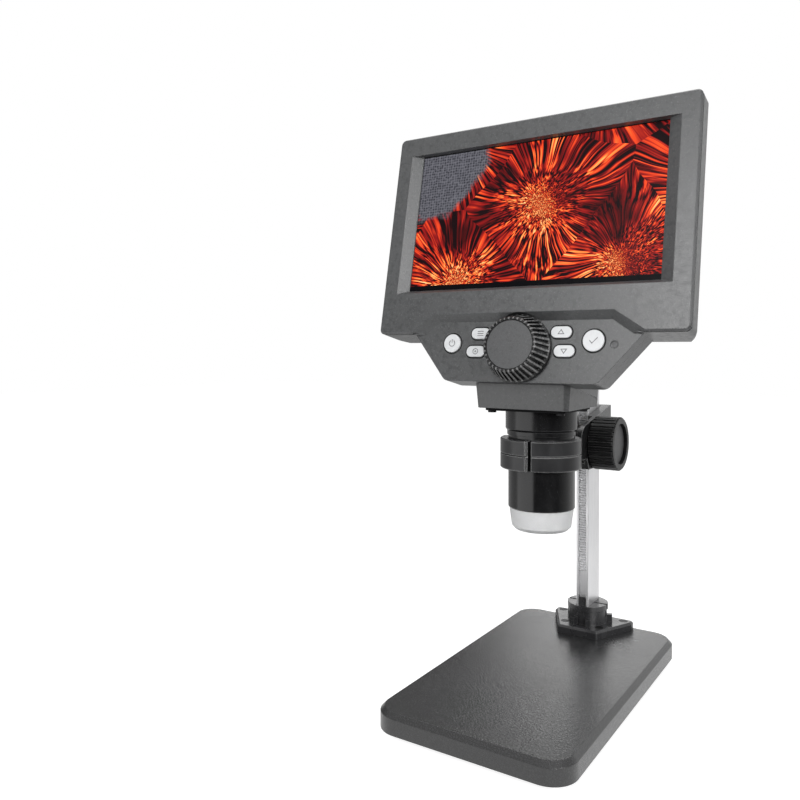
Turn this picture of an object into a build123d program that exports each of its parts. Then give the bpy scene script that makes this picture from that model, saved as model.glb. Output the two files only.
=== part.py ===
from build123d import *
from math import asin, atan, cos, degrees, pi, radians, sin, sqrt, tan
import os

# LCD digital microscope on a rack-and-pinion post stand, in millimetres.
# +Z is up, the screen faces -Y, X = 0 is the middle plane and Z = 0 is the underside of the feet.

os.makedirs("parts", exist_ok=True)

# ---- Clearances -------------------------------------------------------------------------
slide_gap = 0.3  # between pieces that move past each other
bore_gap = 0.06  # radial, a shaft in its bush or the barrel in its ring
seat_gap = 0.05  # radial, a fastener or spigot in the hole that holds it
button_gap = 0.45  # round a button in its hole

# ---- Base -------------------------------------------------------------------------------
foot_height = 4.1
foot_radius = 6.0
foot_edge = 0.6
base_width = 104.0
base_length = 187.0
foot_spacing_x = base_width - 30.0
foot_spacing_y = base_length - 37.0
base_height = 10.6
base_corner = 14.0
base_bevel = 2.4
base_wall = 2.6
base_roof = 2.6
base_cover_thick = 1.6
weight_thick = 5.0
weight_margin = 8.0  # from the inside of the base's wall to the weight
base_boss_radius = 3.0
base_screw_inset = 8.6  # from the base's sides to its corner screws
base_screw_head = 2.6
base_screw_sink = 0.9
base_screw_length = 5.5
weight_corner = 5.0
base_bottom = foot_height
base_top = base_bottom + base_height
base_roof_under = base_top - base_roof

# ---- Post, rack and the mount that holds it -----------------------------------------------
post_width = 8.0
post_depth = 20.5
post_inset = 27.2  # from the base's rear edge to the post's front face
post_front = base_length / 2 - post_inset
post_top = 228.0
post_edge = 0.5
post_cap_thick = 1.5
post_cap_plug_radius = 2.4
post_cap_plug_length = 6.0
post_cap_drill = 7.0
post_cap_edge = 0.5
groove_width = 5.0
groove_edge = 0.2  # the rack's teeth lie this far inside the post's front face
mount_thick = 5.0
mount_floor = 1.6
mount_front_width = 25.0
mount_rear_width = 51.5
mount_front_reach = 19.5  # from the post's middle to the front edge
mount_flare_reach = 9.0  # from the post's middle to where the sides stop flaring
mount_rear_reach = 14.0
mount_rim = 1.2
mount_corner = 2.0
collar_radius = 12.0
collar_band_radius = 12.7
collar_band_height = 3.4
collar_height = 11.8
collar_slot_width = 1.8
collar_slot_depth = 8.4
gusset_thick = 3.0
gusset_reach = 4.2
gusset_height = 4.6
gusset_angles = (20, 160, 250, 290)
gusset_seat = 1.0  # how far a gusset runs into the collar
key_height = 5.5  # the collar's key stands this far up in the post's groove
key_root = 5.0  # and runs this far down into the collar
mount_screw_front = (11.2, -10.4)  # from the post's middle
mount_screw_rear = (20.2, 9.6)
mount_screw_radius = 1.4
mount_screw_head = 2.6
mount_screw_length = 10.0
post_bolt_radius = 2.0
post_bolt_head = 4.0
post_bolt_head_height = 2.4
post_bolt_grip = 12.0  # thread inside the post
post_bolt_drill = 14.0  # depth of the hole in the post's lower end
post_middle = post_front + post_depth / 2
mount_top = base_top + mount_thick
mount_floor_top = base_top + mount_floor
collar_top = mount_top + collar_height

# ---- Height drive ---------------------------------------------------------------------------
height_module = 0.5
height_teeth = 16
rack_width = 4.9
rack_back = 1.1  # metal behind the roots of the teeth
pinion_face = 4.2
backlash = 0.10
pressure_angle = 20.0
height_z = 136.5  # Z of the pinion's shaft
travel_down = 78.0
travel_up = 58.0
rack_spare = 5.0  # toothed length past each end of the travel
height_shaft_radius = 2.0
height_pitch = pi * height_module
height_pitch_radius = height_module * height_teeth / 2
rack_pitch_y = post_front + groove_edge + height_module
height_y = rack_pitch_y - height_pitch_radius
rack_root_y = rack_pitch_y + 1.25 * height_module
groove_depth = rack_root_y + rack_back - post_front

# ---- Carriage -------------------------------------------------------------------------------
carriage_half = 10.0
plate_thick = 2.4
carriage_front = post_front - 28.3
carriage_bottom = 121.0
arm_bottom = 128.1
arm_step_y = post_front - 19.3
arm_step_run = 4.0
carriage_top_rear = 158.3
carriage_top_front = 149.0
carriage_nose_y = post_front - 20.8  # where the sloping top ends and the nose curves down
carriage_nose_z = 143.2
cavity_front = carriage_front + 3.5
cavity_floor = 125.0
channel_rear_wall = 3.0
pad_thick = 1.5
pad_width = 7.0
pad_height = 26.0
pad_screw_radius = 1.5
pad_screw_spacing = 16.0
pad_screw_sink = 0.4  # the screws' ends lie this far inside the rear wall
pad_socket_depth = 1.2
pad_corner = 1.0
pad_z = 141.0
cavity_rear = post_front - 2.3
channel_rear = post_front + post_depth + slide_gap + pad_thick
carriage_rear = channel_rear + channel_rear_wall
bush_radius = 3.4
bush_flange_radius = 4.4
bush_flange_thick = 0.8

# ---- Height knob ----------------------------------------------------------------------------
knob_gap = 0.6
height_knob_radius = 16.5
height_knob_length = 15.2
height_knob_ribs = 34
rib_groove_width = 1.25
rib_groove_depth = 0.75
height_knob_face_radius = 12.6
height_knob_face_recess = 2.2
height_knob_face_thick = 1.4
height_knob_hollow_radius = 12.0
height_knob_hollow_depth = 8.0
hub_radius = 5.0
knob_edge = 0.8
clip_radius = 3.6
clip_thick = 0.8
shaft_tail = 1.4  # shaft past the clip
shaft_edge = 0.3
cap_edge = 0.4

# ---- Clamp ring -----------------------------------------------------------------------------
barrel_y = carriage_front - 37.0
lower_barrel_radius = 18.6
ring_radius = 22.2
ring_bottom = 128.1
ring_height = 16.8
ring_slit = 2.0
ring_slit_x = 2.2  # the slit lies this far right of the middle
ring_groove = 0.7
ring_lip = 0.9  # the left end of the ring stands out this much
ring_tang_half = 7.2
ring_screw_radius = 1.3
ring_screw_head = 2.5
ring_screw_head_height = 1.6
ring_screw_length = 9.0
ring_screw_spacing = 9.0
ring_edge = 0.5
ring_middle = ring_bottom + ring_height / 2

# ---- Barrel ---------------------------------------------------------------------------------
neck_bottom = 162.5
neck_plate_thick = 1.5
upper_barrel_radius = 20.2
upper_barrel_bottom = 147.0
upper_barrel_knee = 150.4
upper_barrel_step = 0.9
upper_barrel_ease = 1.2
barrel_edge = 0.5
lower_barrel_bottom = 105.7
lower_barrel_top = 157.0
barrel_bore = 16.8
barrel_throat = 14.0
diffuser_length = 12.2
diffuser_top_radius = 18.0
diffuser_bottom_radius = 16.6
diffuser_wall = 1.6
diffuser_round = 2.0
diffuser_hole = 9.5
diffuser_spigot = 3.0
led_board_thick = 1.6
led_board_hole = 8.2
led_ring_radius = 12.2
led_count = 8
led_radius = 1.5
led_height = 2.6
plate_bottom = neck_bottom - neck_plate_thick
diffuser_bottom = lower_barrel_bottom - diffuser_length
led_board_bottom = lower_barrel_bottom + diffuser_spigot

# ---- Head: everything is set out in the leaning frame of the screen ---------------------------
lean = 11.5
face_y = barrel_y - 33.6  # the front face's lower edge
face_z = 203.7
bezel_width = 177.0
bezel_top = 12.0  # height of the surround above the screen's opening
bezel_corner = 3.0
bezel_edge = 0.9
case_wall = 2.2
front_wall = 2.2
parting_depth = 11.5
seam_depth = 1.5
seam_width = 1.5
seam_cut = 0.9
screen_width = 158.0
screen_height = 86.2
screen_bottom = 24.0
screen_rib = 2.0
slope_depth = 3.2  # the opening narrows down to this depth
slope_side = 6.4
slope_low = 2.2
screen_depth = 4.0  # depth of the display's front
window_width = screen_width - 2 * slope_side
window_height = screen_height - slope_low
bezel_height = screen_bottom + screen_height + bezel_top
panel_depth = 5.0
step_half = 51.6
step_height = 11.2
step_foot_half = 68.5
step_low_half = 49.7  # the walls of the step slope in to these values at the panel
step_low_height = 7.3
step_low_foot_half = 60.4
panel_top_half = 65.5
panel_bottom_half = 43.7
panel_drop = 26.0
panel_round = 5.0
rear_depth = 26.0
rear_side = 1.0  # straight side of the rear cover behind the screen, and behind the panel:
rear_panel_side = 10.5
rear_panel_taper = 40.0
rear_inset = 6.0
rear_hollow_inset = 7.2
rear_straight = 3.1  # depth of the hollow that follows the walls
tower_half = 27.0
tower_depth = 59.0
tower_rise = 10.0
tower_slope_top = 44.0
tower_round = 4.0
vent_count = 7
vent_pitch = 4.2
vent_length = 26.0
vent_width = 1.6
vent_at = (52.0, 84.0)  # middle of the group on each side
neck_half = 26.3
neck_front = barrel_y - 28.5
neck_rear = barrel_y + 18.6
neck_draft = 5.0
neck_corner = 2.0
neck_wall = 2.4
neck_lip = 3.0
neck_floor = 2.4
neck_boss_radius = 3.0
head_boss_radius = 2.5
head_screw_radius = 1.15
head_screw_head = 2.2
head_screw_head_height = 1.4
head_screw_grip = 4.0
head_screw_seat = 2.4
head_screw_top = (60.0, bezel_height - 4.3)
head_screw_low = (77.5, 8.6)
head_screw_panel = (39.0, -19.6)
neck_screw_radius = 1.2
neck_screw_head = 2.3
neck_screw_head_height = 1.2
neck_screw_grip = 5.0
neck_screw_x = 20.0
neck_screw_y = 17.0

# ---- Screen and electronics -------------------------------------------------------------------
lcd_margin_x = 3.0  # the display reaches this far past the opening
lcd_margin_y = 5.0
lcd_width = screen_width + 2 * lcd_margin_x
lcd_height = screen_height + 2 * lcd_margin_y
lcd_glass_thick = 1.6
backlight_thick = 3.8
board_thick = 1.6
board_half = 52.0
board_bottom = 20.0
board_top = 84.0
board_tab_inner = 24.0
board_tab_top = -3.0
board_tab_low = -15.0
board_tab_inset = 5.8
board_post_radius = 2.0
board_post_x = 48.0
board_post_low = 26.0
board_post_high = 80.0
chip_height = 1.2
board_chips = [((-38, 44), (16, 16)), ((-38, 66), (11, 9)), ((-6, 28), (11, 9)), ((34, 29), (16, 10))]
battery_width = 70.0
battery_height = 40.0
battery_at = (8.0, 56.0)
battery_thick = 6.5
battery_corner = 3.0
key_board_depth = 9.8
key_board_thick = 1.2
key_board_top_half = 62.0
key_board_top = 8.0
key_board_low_half = 40.0
key_board_low = -23.0
key_board_hole = 7.0
key_post_radius = 1.8
key_post_high = (12.0, 4.0)
key_post_low = (14.0, -20.0)
usb_width = 8.9
usb_height = 3.3
usb_length = 7.3
usb_end_radius = 1.55
usb_tongue_width = 6.5
usb_tongue_thick = 0.7
socket_back = 1.0
card_width = 12.0
card_height = 1.8
card_length = 14.0
port_wall = 0.4
port_gap = 0.2
port_reach = 6.0
port_inset = 2.2
usb_along = 0.30  # share of the way down the slanted side
card_along = 0.68

# ---- Keys -------------------------------------------------------------------------------------
key_travel = 0.6
key_proud = 0.9
key_flange = 0.9
key_flange_thick = 0.9
key_edge = 0.35
power_at = (-40.8, -4.8)
power_radius = 5.2
ok_at = (40.6, -3.7)
ok_radius = 5.6
oval_length = 11.2
oval_height = 6.1
up_at = (23.2, 0.9)
down_at = (25.4, -9.1)
menu_at = (-23.4, 0.6)
mode_at = (-25.6, -9.4)
light_at = (51.2, -5.6)
light_radius = 1.3
light_well = 2.0
switch_size = 4.5
switch_gap = 0.15  # left between a key and its switch when the key is down

# ---- Focus drive ------------------------------------------------------------------------------
focus_at = -8.0  # height of the focus shaft on the panel, below the front face's lower edge
focus_module = 0.5
focus_teeth = 12
focus_pinion_face = 5.0
focus_shaft_radius = 1.5
focus_shaft_end = 36.0  # depth of the inner end of the shaft
focus_pinion_depth = 26.0  # depth of the pinion's front end
focus_travel = 6.0
focus_rack_width = 4.6
focus_rack_back = 1.6
focus_knob_rear = 18.5
focus_knob_flange = 2.2
focus_cone_rear = 17.9
focus_cone_front = 14.9
focus_knob_length = 12.9
focus_knob_ribs = 36
focus_groove_half = 0.65
focus_groove_depth = 1.1
focus_flange_ease = 0.4  # the cone's ends stand this far from the flange and the front edge
focus_front_round = 0.6
focus_hollow_flare = 1.0
focus_rim = 1.3
focus_face_recess = 0.7
focus_face_thick = 1.0
focus_hollow_radius = 12.5
focus_bush_radius = 4.0
focus_bush_flange = 6.0
focus_bush_flange_thick = 1.0
focus_hub_radius = 4.6
focus_web = 2.2
focus_rack_reach = 10.0  # toothed length above and below the pinion's middle
carrier_bore = 12.4
carrier_seat = 11.4
carrier_bottom = 118.0
carrier_floor = 2.0
carrier_top = 140.0
nose_radius = 7.4
nose_bore = 5.8
nose_length = 7.0
front_lens_z = 112.0
front_lens_thick = 2.4
front_lens_crown = 0.5
rear_lens_crown = 0.9
rack_foot_thick = 2.0
rack_foot_hole = 5.5
rear_lens_thick = 3.0
rear_lens_z = 132.0
sensor_board_size = 18.0
sensor_board_thick = 1.2
sensor_size = 7.0
sensor_y = barrel_y + 1.0
sensor_thick = 1.4
frame_plug = 4.0
frame_flange_radius = 16.0
frame_flange_thick = 1.5
column_half = 5.0
column_front = barrel_y - 3.4
column_rear = barrel_y + 0.6
column_top = 195.0
board_depth = parting_depth + rear_straight - board_thick
panel_back = panel_depth + front_wall
focus_pitch_radius = focus_module * focus_teeth / 2
carrier_radius = barrel_bore - slide_gap

lean_sin = sin(radians(lean))
lean_cos = cos(radians(lean))
head_out = Vector(0, -lean_cos, lean_sin)
head_up = Vector(0, lean_sin, lean_cos)
face_origin = Vector(0, face_y, face_z)
screen_middle = screen_bottom + screen_height / 2


def head_plane(depth):
    """Plane parallel to the screen and depth behind the front face, facing the user."""
    return Plane(origin=face_origin - head_out * depth, x_dir=(1, 0, 0), z_dir=head_out)


def head_point(x, height, depth):
    """World position of a point x to the right, height up the face and depth behind it."""
    return face_origin + Vector(x, 0, 0) + head_up * height - head_out * depth


# The head's middle plane: depth runs along its x, height up the face along its y.
head_side = Plane(origin=face_origin, x_dir=-head_out, z_dir=(1, 0, 0))
head_floor = Plane(origin=head_point(0, -panel_drop, 0), x_dir=(1, 0, 0), z_dir=-head_up)
neck_plane_front = head_point(0, -panel_drop, 0).Z
neck_middle = (neck_front + neck_rear) / 2


def slant_place(along, depth):
    """Plane on the left slanted side of the case, a share of the way down it, facing outwards."""
    x = -panel_top_half + (panel_top_half - panel_bottom_half) * along
    down = Vector(panel_top_half - panel_bottom_half, 0, 0) - head_up * panel_drop
    outward = down.cross(head_out).normalized()
    mouth = head_point(x, -panel_drop * along, depth) - outward * port_inset
    return Plane(origin=mouth, x_dir=down, z_dir=outward)


usb_place = slant_place(usb_along, board_depth + board_thick + usb_height / 2)
card_place = slant_place(card_along, board_depth + board_thick + card_height / 2)


def save(builder, node):
    """Label a finished sub-part and write it to its own file."""
    builder.part.label = node
    export_step(builder.part, f"parts/{node}.step")


def corners(width, length):
    """The four corners of a rectangle about the origin."""
    return [(sx * width / 2, sy * length / 2) for sx in (-1, 1) for sy in (-1, 1)]


def mirrored(point):
    """A point and its mirror image across X = 0."""
    return [(-point[0], point[1]), point]


def bezel_outline(inset=0.0):
    """Rounded rectangle of the screen surround."""
    with Locations((0, bezel_height / 2)):
        RectangleRounded(bezel_width - 2 * inset, bezel_height - 2 * inset, bezel_corner - inset)


def trapezoid(top_half, top, bottom_half, bottom):
    """Symmetric trapezoid given by its half widths at two heights."""
    with BuildLine() as outline:
        Polyline((-top_half, top), (top_half, top), (bottom_half, bottom), (-bottom_half, bottom), close=True)
    make_face(outline.edges())


def panel_outline():
    """The control panel below the screen surround; it narrows downwards and overlaps the surround."""
    right = [(panel_top_half, step_height / 2), (panel_top_half, 0), (panel_bottom_half, -panel_drop)]
    left = [(-x, y) for x, y in reversed(right)]
    with BuildLine() as outline:
        Polyline(*right, *left, close=True)
    make_face(outline.edges())
    low = [corner for corner in vertices() if corner.Y < -panel_drop / 2]
    fillet(low, panel_round)


def case_outline():
    """Outline of the whole case: the screen surround joined with the control panel."""
    panel_outline()
    bezel_outline()


def step_outline(top_half, top, foot_half):
    """The part of the screen surround that is cut back over the control panel; it runs on below it."""
    spread = (foot_half - top_half) / top
    trapezoid(top_half, top, foot_half + spread * case_wall, -case_wall)


def gear_outline(module, teeth, first_tooth, flank_steps=3):
    """Closed involute gear outline with the middle of one tooth at the angle first_tooth (radians)."""
    pitch_radius = module * teeth / 2
    base_radius = pitch_radius * cos(radians(pressure_angle))
    root_radius = pitch_radius - 1.25 * module
    tip_radius = pitch_radius + 0.95 * module
    involute_at_pitch = tan(radians(pressure_angle)) - radians(pressure_angle)
    half_at_base = (pi * module / 2 - backlash) / (2 * pitch_radius) + involute_at_pitch
    flank = [(root_radius, half_at_base)]
    for step in range(flank_steps + 1):
        radius = base_radius + (tip_radius - base_radius) * step / flank_steps
        roll = sqrt(max((radius / base_radius) ** 2 - 1, 0))
        flank.append((radius, half_at_base - roll + atan(roll)))
    points = []
    for tooth in range(teeth):
        middle = first_tooth + 2 * pi * tooth / teeth
        polar = [(r, middle - a) for r, a in flank] + [(r, middle + a) for r, a in reversed(flank)]
        points += [(r * cos(a), r * sin(a)) for r, a in polar]
    with BuildLine() as outline:
        Polyline(*points, close=True)
    make_face(outline.edges())


def rack_outline(module, first_gap, gaps_below, gaps_above, pitch_line, facing, back):
    """Rack along y, its teeth pointing to facing (+1 or -1) in x, with a gap's middle at first_gap."""
    pitch = pi * module
    half = (pitch / 2 - backlash) / 2
    addendum = 0.8 * module
    dedendum = 1.25 * module
    tip_half = half - addendum * tan(radians(pressure_angle))
    root_half = half + dedendum * tan(radians(pressure_angle))
    tip = pitch_line + facing * addendum
    root = pitch_line - facing * dedendum
    points = []
    for tooth in range(-gaps_below, gaps_above):
        middle = first_gap + (tooth + 0.5) * pitch
        points += [(root, middle - root_half), (tip, middle - tip_half)]
        points += [(tip, middle + tip_half), (root, middle + root_half)]
    low = first_gap - gaps_below * pitch
    high = first_gap + gaps_above * pitch
    with BuildLine() as outline:
        Polyline((back, low), (root, low), *points, (root, high), (back, high), close=True)
    make_face(outline.edges())


# ==== Stand ====================================================================================

base_corners = corners(base_width - 2 * base_screw_inset, base_length - 2 * base_screw_inset)
mount_screw_points = [
    (x, post_middle + y) for sx, sy in (mount_screw_front, mount_screw_rear) for x, y in mirrored((sx, sy))
]
pocket_width = base_width - 2 * base_wall
pocket_length = base_length - 2 * base_wall
pocket_corner = base_corner - base_wall

with BuildPart() as base_shell:
    with BuildSketch(Plane.XY.offset(base_bottom)):
        RectangleRounded(base_width, base_length, base_corner)
    extrude(amount=base_height)
    chamfer(faces().sort_by(Axis.Z)[-1].edges(), base_bevel)
    with BuildSketch(Plane.XY.offset(base_bottom)):
        RectangleRounded(pocket_width, pocket_length, pocket_corner)
        with Locations(*base_corners):
            Circle(base_boss_radius, mode=Mode.SUBTRACT)
    extrude(amount=base_height - base_roof, mode=Mode.SUBTRACT)
    with BuildSketch(Plane.XY.offset(base_bottom)):
        RectangleRounded(pocket_width, pocket_length, pocket_corner)
    extrude(amount=base_cover_thick, mode=Mode.SUBTRACT)
    with BuildSketch(Plane.XY.offset(base_bottom)):
        with Locations(*base_corners):
            Circle(mount_screw_radius + seat_gap)
    extrude(amount=base_height - base_roof, mode=Mode.SUBTRACT)
    with BuildSketch(Plane.XY.offset(base_roof_under)):
        with Locations(*mount_screw_points):
            Circle(mount_screw_radius + seat_gap)
        with Locations((0, post_middle)):
            Circle(post_bolt_radius + seat_gap)
    extrude(amount=base_roof, mode=Mode.SUBTRACT)
save(base_shell, "base_shell")

with BuildPart() as base_weight:
    with BuildSketch(Plane.XY.offset(base_roof_under)):
        RectangleRounded(
            pocket_width - 2 * weight_margin, pocket_length - 2 * weight_margin + base_boss_radius, weight_corner
        )
    extrude(amount=-weight_thick)
    with BuildSketch(Plane.XY.offset(base_roof_under)):
        with Locations(*mount_screw_points):
            Circle(mount_screw_radius + seat_gap)
        with Locations((0, post_middle)):
            Circle(post_bolt_radius + seat_gap)
    extrude(amount=-weight_thick, mode=Mode.SUBTRACT)
    with BuildSketch(Plane.XY.offset(base_roof_under - weight_thick)):
        with Locations((0, post_middle)):
            Circle(post_bolt_head + slide_gap)
    extrude(amount=post_bolt_head_height, mode=Mode.SUBTRACT)
save(base_weight, "base_weight")

with BuildPart() as base_cover:
    with BuildSketch(Plane.XY.offset(base_bottom)):
        RectangleRounded(pocket_width - 2 * seat_gap, pocket_length - 2 * seat_gap, pocket_corner - seat_gap)
        with Locations(*base_corners):
            Circle(mount_screw_radius + slide_gap, mode=Mode.SUBTRACT)
    extrude(amount=base_cover_thick)
    with BuildSketch(Plane.XY.offset(base_bottom)):
        with Locations(*base_corners):
            Circle(base_screw_head + seat_gap)
    extrude(amount=base_screw_sink, mode=Mode.SUBTRACT)
save(base_cover, "base_cover")

with BuildPart() as base_screws:
    with BuildSketch(Plane.XY.offset(base_bottom)):
        with Locations(*base_corners):
            Circle(base_screw_head)
    extrude(amount=base_screw_sink)
    with BuildSketch(Plane.XY.offset(base_bottom)):
        with Locations(*base_corners):
            Circle(mount_screw_radius)
    extrude(amount=base_screw_length)
save(base_screws, "base_screws")

with BuildPart() as rubber_feet:
    with BuildSketch():
        with Locations(*corners(foot_spacing_x, foot_spacing_y)):
            Circle(foot_radius)
    extrude(amount=foot_height)
    chamfer(faces().group_by(Axis.Z)[0].edges(), foot_edge)
save(rubber_feet, "rubber_feet")


def mount_outline(inset=0.0):
    """Flange under the post: narrow in front, flaring to the rear, with short straight sides."""
    front = (mount_front_width / 2 - inset, -mount_front_reach + inset)
    flare = (mount_rear_width / 2 - inset, mount_flare_reach)
    rear = (mount_rear_width / 2 - inset, mount_rear_reach - inset)
    right = [(x, post_middle + y) for x, y in (front, flare, rear)]
    left = [(-x, y) for x, y in reversed(right)]
    with BuildLine() as outline:
        Polyline(*right, *left, close=True)
    make_face(outline.edges())
    fillet(vertices(), mount_corner)


with BuildPart() as post_mount:
    with BuildSketch(Plane.XY.offset(base_top)):
        mount_outline()
    extrude(amount=mount_thick)
    chamfer(faces().sort_by(Axis.Z)[-1].edges(), mount_rim)
    with BuildSketch(Plane.XY.offset(mount_top)):
        with Locations((0, post_middle)):
            Circle(collar_radius)
    extrude(amount=collar_height)
    with BuildSketch(Plane.XY.offset(collar_top)):
        with Locations((0, post_middle)):
            Circle(collar_band_radius)
    extrude(amount=-collar_band_height)
    with BuildSketch(Plane.XY.offset(mount_top)):
        for angle in gusset_angles:
            with Locations((0, post_middle)):
                with PolarLocations(collar_radius - gusset_seat + gusset_reach / 2, 1, start_angle=angle):
                    Rectangle(gusset_reach, gusset_thick)
    extrude(amount=gusset_height)
    with BuildSketch(Plane.XY.offset(collar_top)):
        with Locations((0, post_middle)):
            Rectangle(post_width + 2 * seat_gap, post_depth + 2 * seat_gap)
    extrude(amount=-(collar_top - mount_floor_top), mode=Mode.SUBTRACT)
    with BuildSketch(Plane.XY.offset(collar_top - key_root)):
        with Locations((0, post_front + (groove_depth - seat_gap) / 2 - gusset_seat / 2)):
            Rectangle(groove_width - 2 * seat_gap, groove_depth - seat_gap + gusset_seat)
    extrude(amount=key_root)
    with BuildSketch(Plane.XY.offset(collar_top)):
        with Locations((0, post_front + (groove_depth - seat_gap) / 2)):
            Rectangle(groove_width - 2 * seat_gap, groove_depth - seat_gap)
    extrude(amount=key_height)
    with BuildSketch(Plane.XY.offset(collar_top)):
        with Locations((0, post_middle)):
            Rectangle(2 * collar_band_radius + 1, collar_slot_width)
    extrude(amount=-collar_slot_depth, mode=Mode.SUBTRACT)
    with BuildSketch(Plane.XY.offset(base_top)):
        with Locations(*mount_screw_points):
            Circle(mount_screw_radius + seat_gap)
        with Locations((0, post_middle)):
            Circle(post_bolt_radius + seat_gap)
    extrude(amount=mount_thick, mode=Mode.SUBTRACT)
    with Locations(*[(x, y, mount_top) for x, y in mount_screw_points]):
        CounterSinkHole(mount_screw_radius + seat_gap, mount_screw_head + seat_gap, mount_thick)
save(post_mount, "post_mount")

sink_depth = mount_screw_head - mount_screw_radius

with BuildPart() as mount_screws:
    for x, y in mount_screw_points:
        with BuildSketch(Plane.XZ.offset(-y)):
            with BuildLine():
                Polyline(
                    (x, mount_top),
                    (x + mount_screw_head, mount_top),
                    (x + mount_screw_radius, mount_top - sink_depth),
                    (x + mount_screw_radius, mount_top - mount_screw_length),
                    (x, mount_top - mount_screw_length),
                    close=True,
                )
            make_face()
        revolve(axis=Axis((x, y, 0), (0, 0, 1)))
save(mount_screws, "mount_screws")

with BuildPart() as post_bolt:
    with BuildSketch(Plane.XY.offset(base_roof_under - weight_thick)):
        with Locations((0, post_middle)):
            Circle(post_bolt_head)
    extrude(amount=post_bolt_head_height)
    with BuildSketch(Plane.XY.offset(base_roof_under - weight_thick)):
        with Locations((0, post_middle)):
            Circle(post_bolt_radius)
    extrude(amount=mount_floor_top + post_bolt_grip - base_roof_under + weight_thick)
    with BuildSketch(Plane.XY.offset(base_roof_under - weight_thick)):
        with Locations((0, post_middle)):
            RegularPolygon(post_bolt_head / 2, 6)
    extrude(amount=post_bolt_head_height / 2, mode=Mode.SUBTRACT)
save(post_bolt, "post_bolt")

with BuildPart() as post:
    with BuildSketch(Plane.XY.offset(mount_floor_top)):
        with Locations((0, post_middle)):
            RectangleRounded(post_width, post_depth, post_edge)
        with Locations((0, post_front + groove_depth / 2)):
            Rectangle(groove_width, groove_depth, mode=Mode.SUBTRACT)
    extrude(amount=post_top - mount_floor_top)
    with BuildSketch(Plane.XY.offset(mount_floor_top)):
        with Locations((0, post_middle)):
            Circle(post_bolt_radius + seat_gap)
    extrude(amount=post_bolt_drill, mode=Mode.SUBTRACT)
    with BuildSketch(Plane.XY.offset(post_top)):
        with Locations((0, post_middle)):
            Circle(post_cap_plug_radius + seat_gap)
    extrude(amount=-post_cap_drill, mode=Mode.SUBTRACT)
save(post, "post")

with BuildPart() as post_cap:
    with BuildSketch(Plane.XY.offset(post_top)):
        with Locations((0, post_middle)):
            RectangleRounded(post_width, post_depth, post_edge)
    extrude(amount=post_cap_thick)
    fillet(faces().sort_by(Axis.Z)[-1].edges(), post_cap_edge)
    with BuildSketch(Plane.XY.offset(post_top)):
        with Locations((0, post_middle)):
            Circle(post_cap_plug_radius)
    extrude(amount=-post_cap_plug_length)
save(post_cap, "post_cap")

teeth_below = int((travel_down + rack_spare) / height_pitch) + 1
teeth_above = int((travel_up + rack_spare) / height_pitch) + 1

with BuildPart() as post_rack:
    with BuildSketch(Plane.YZ):
        rack_outline(
            height_module, height_z, teeth_below, teeth_above, rack_pitch_y, -1, rack_root_y + rack_back
        )
    extrude(amount=rack_width / 2, both=True)
save(post_rack, "post_rack")


# ==== Carriage =================================================================================

top_slope = atan((carriage_top_rear - carriage_top_front) / (carriage_rear - carriage_nose_y))
nose_tangent = Vector(-cos(top_slope), -sin(top_slope))
height_axis = Axis((0, height_y, height_z), (1, 0, 0))
pad_screw_points = [(0, pad_z - pad_screw_spacing / 2), (0, pad_z + pad_screw_spacing / 2)]
ring_screw_points = [(0, ring_middle - ring_screw_spacing / 2), (0, ring_middle + ring_screw_spacing / 2)]


def height_plane(x):
    """Plane across the height knob's axis at x."""
    return Plane(origin=(x, height_y, height_z), x_dir=(0, 1, 0), z_dir=(1, 0, 0))


# Plane through that axis: x runs along it, y is the distance from it.
height_side = Plane(origin=(0, height_y, height_z), x_dir=(1, 0, 0), z_dir=(0, -1, 0))


def side_disc(radius):
    """Circle round the height knob's axis, for a sketch on a plane across X."""
    with Locations((height_y, height_z)):
        Circle(radius)


with BuildPart() as carriage_housing:
    with BuildSketch(Plane.YZ):
        with BuildLine():
            Polyline(
                (carriage_front, carriage_nose_z),
                (carriage_front, arm_bottom),
                (arm_step_y, arm_bottom),
                (arm_step_y + arm_step_run, carriage_bottom),
                (carriage_rear, carriage_bottom),
                (carriage_rear, carriage_top_rear),
                (carriage_nose_y, carriage_top_front),
            )
            TangentArc(
                (carriage_nose_y, carriage_top_front), (carriage_front, carriage_nose_z), tangent=nose_tangent
            )
        make_face()
    extrude(amount=carriage_half, both=True)
    with BuildSketch(Plane.XY.offset(cavity_floor)):
        with Locations((0, (cavity_front + cavity_rear) / 2)):
            Rectangle(2 * (carriage_half - plate_thick), cavity_rear - cavity_front)
    extrude(amount=carriage_top_rear - cavity_floor, mode=Mode.SUBTRACT)
    with BuildSketch(Plane.XY.offset(carriage_bottom)):
        with Locations((0, (cavity_rear + channel_rear) / 2)):
            Rectangle(post_width + 2 * slide_gap, channel_rear - cavity_rear)
    extrude(amount=carriage_top_rear - carriage_bottom, mode=Mode.SUBTRACT)
    with BuildSketch(Plane.YZ):
        side_disc(bush_radius + seat_gap)
    extrude(amount=carriage_half, both=True, mode=Mode.SUBTRACT)
    with BuildSketch(Plane.YZ):
        side_disc(bush_flange_radius + slide_gap)
    extrude(amount=carriage_half - plate_thick, both=True, mode=Mode.SUBTRACT)
    with BuildSketch(Plane.XZ.offset(-channel_rear)):
        with Locations(*pad_screw_points):
            Circle(pad_screw_radius + seat_gap)
    extrude(amount=-channel_rear_wall, mode=Mode.SUBTRACT)
    with BuildSketch(Plane.XZ.offset(-carriage_front)):
        with Locations(*ring_screw_points):
            Circle(ring_screw_radius + seat_gap)
    extrude(amount=carriage_front - cavity_front, mode=Mode.SUBTRACT)
save(carriage_housing, "carriage_housing")

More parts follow.
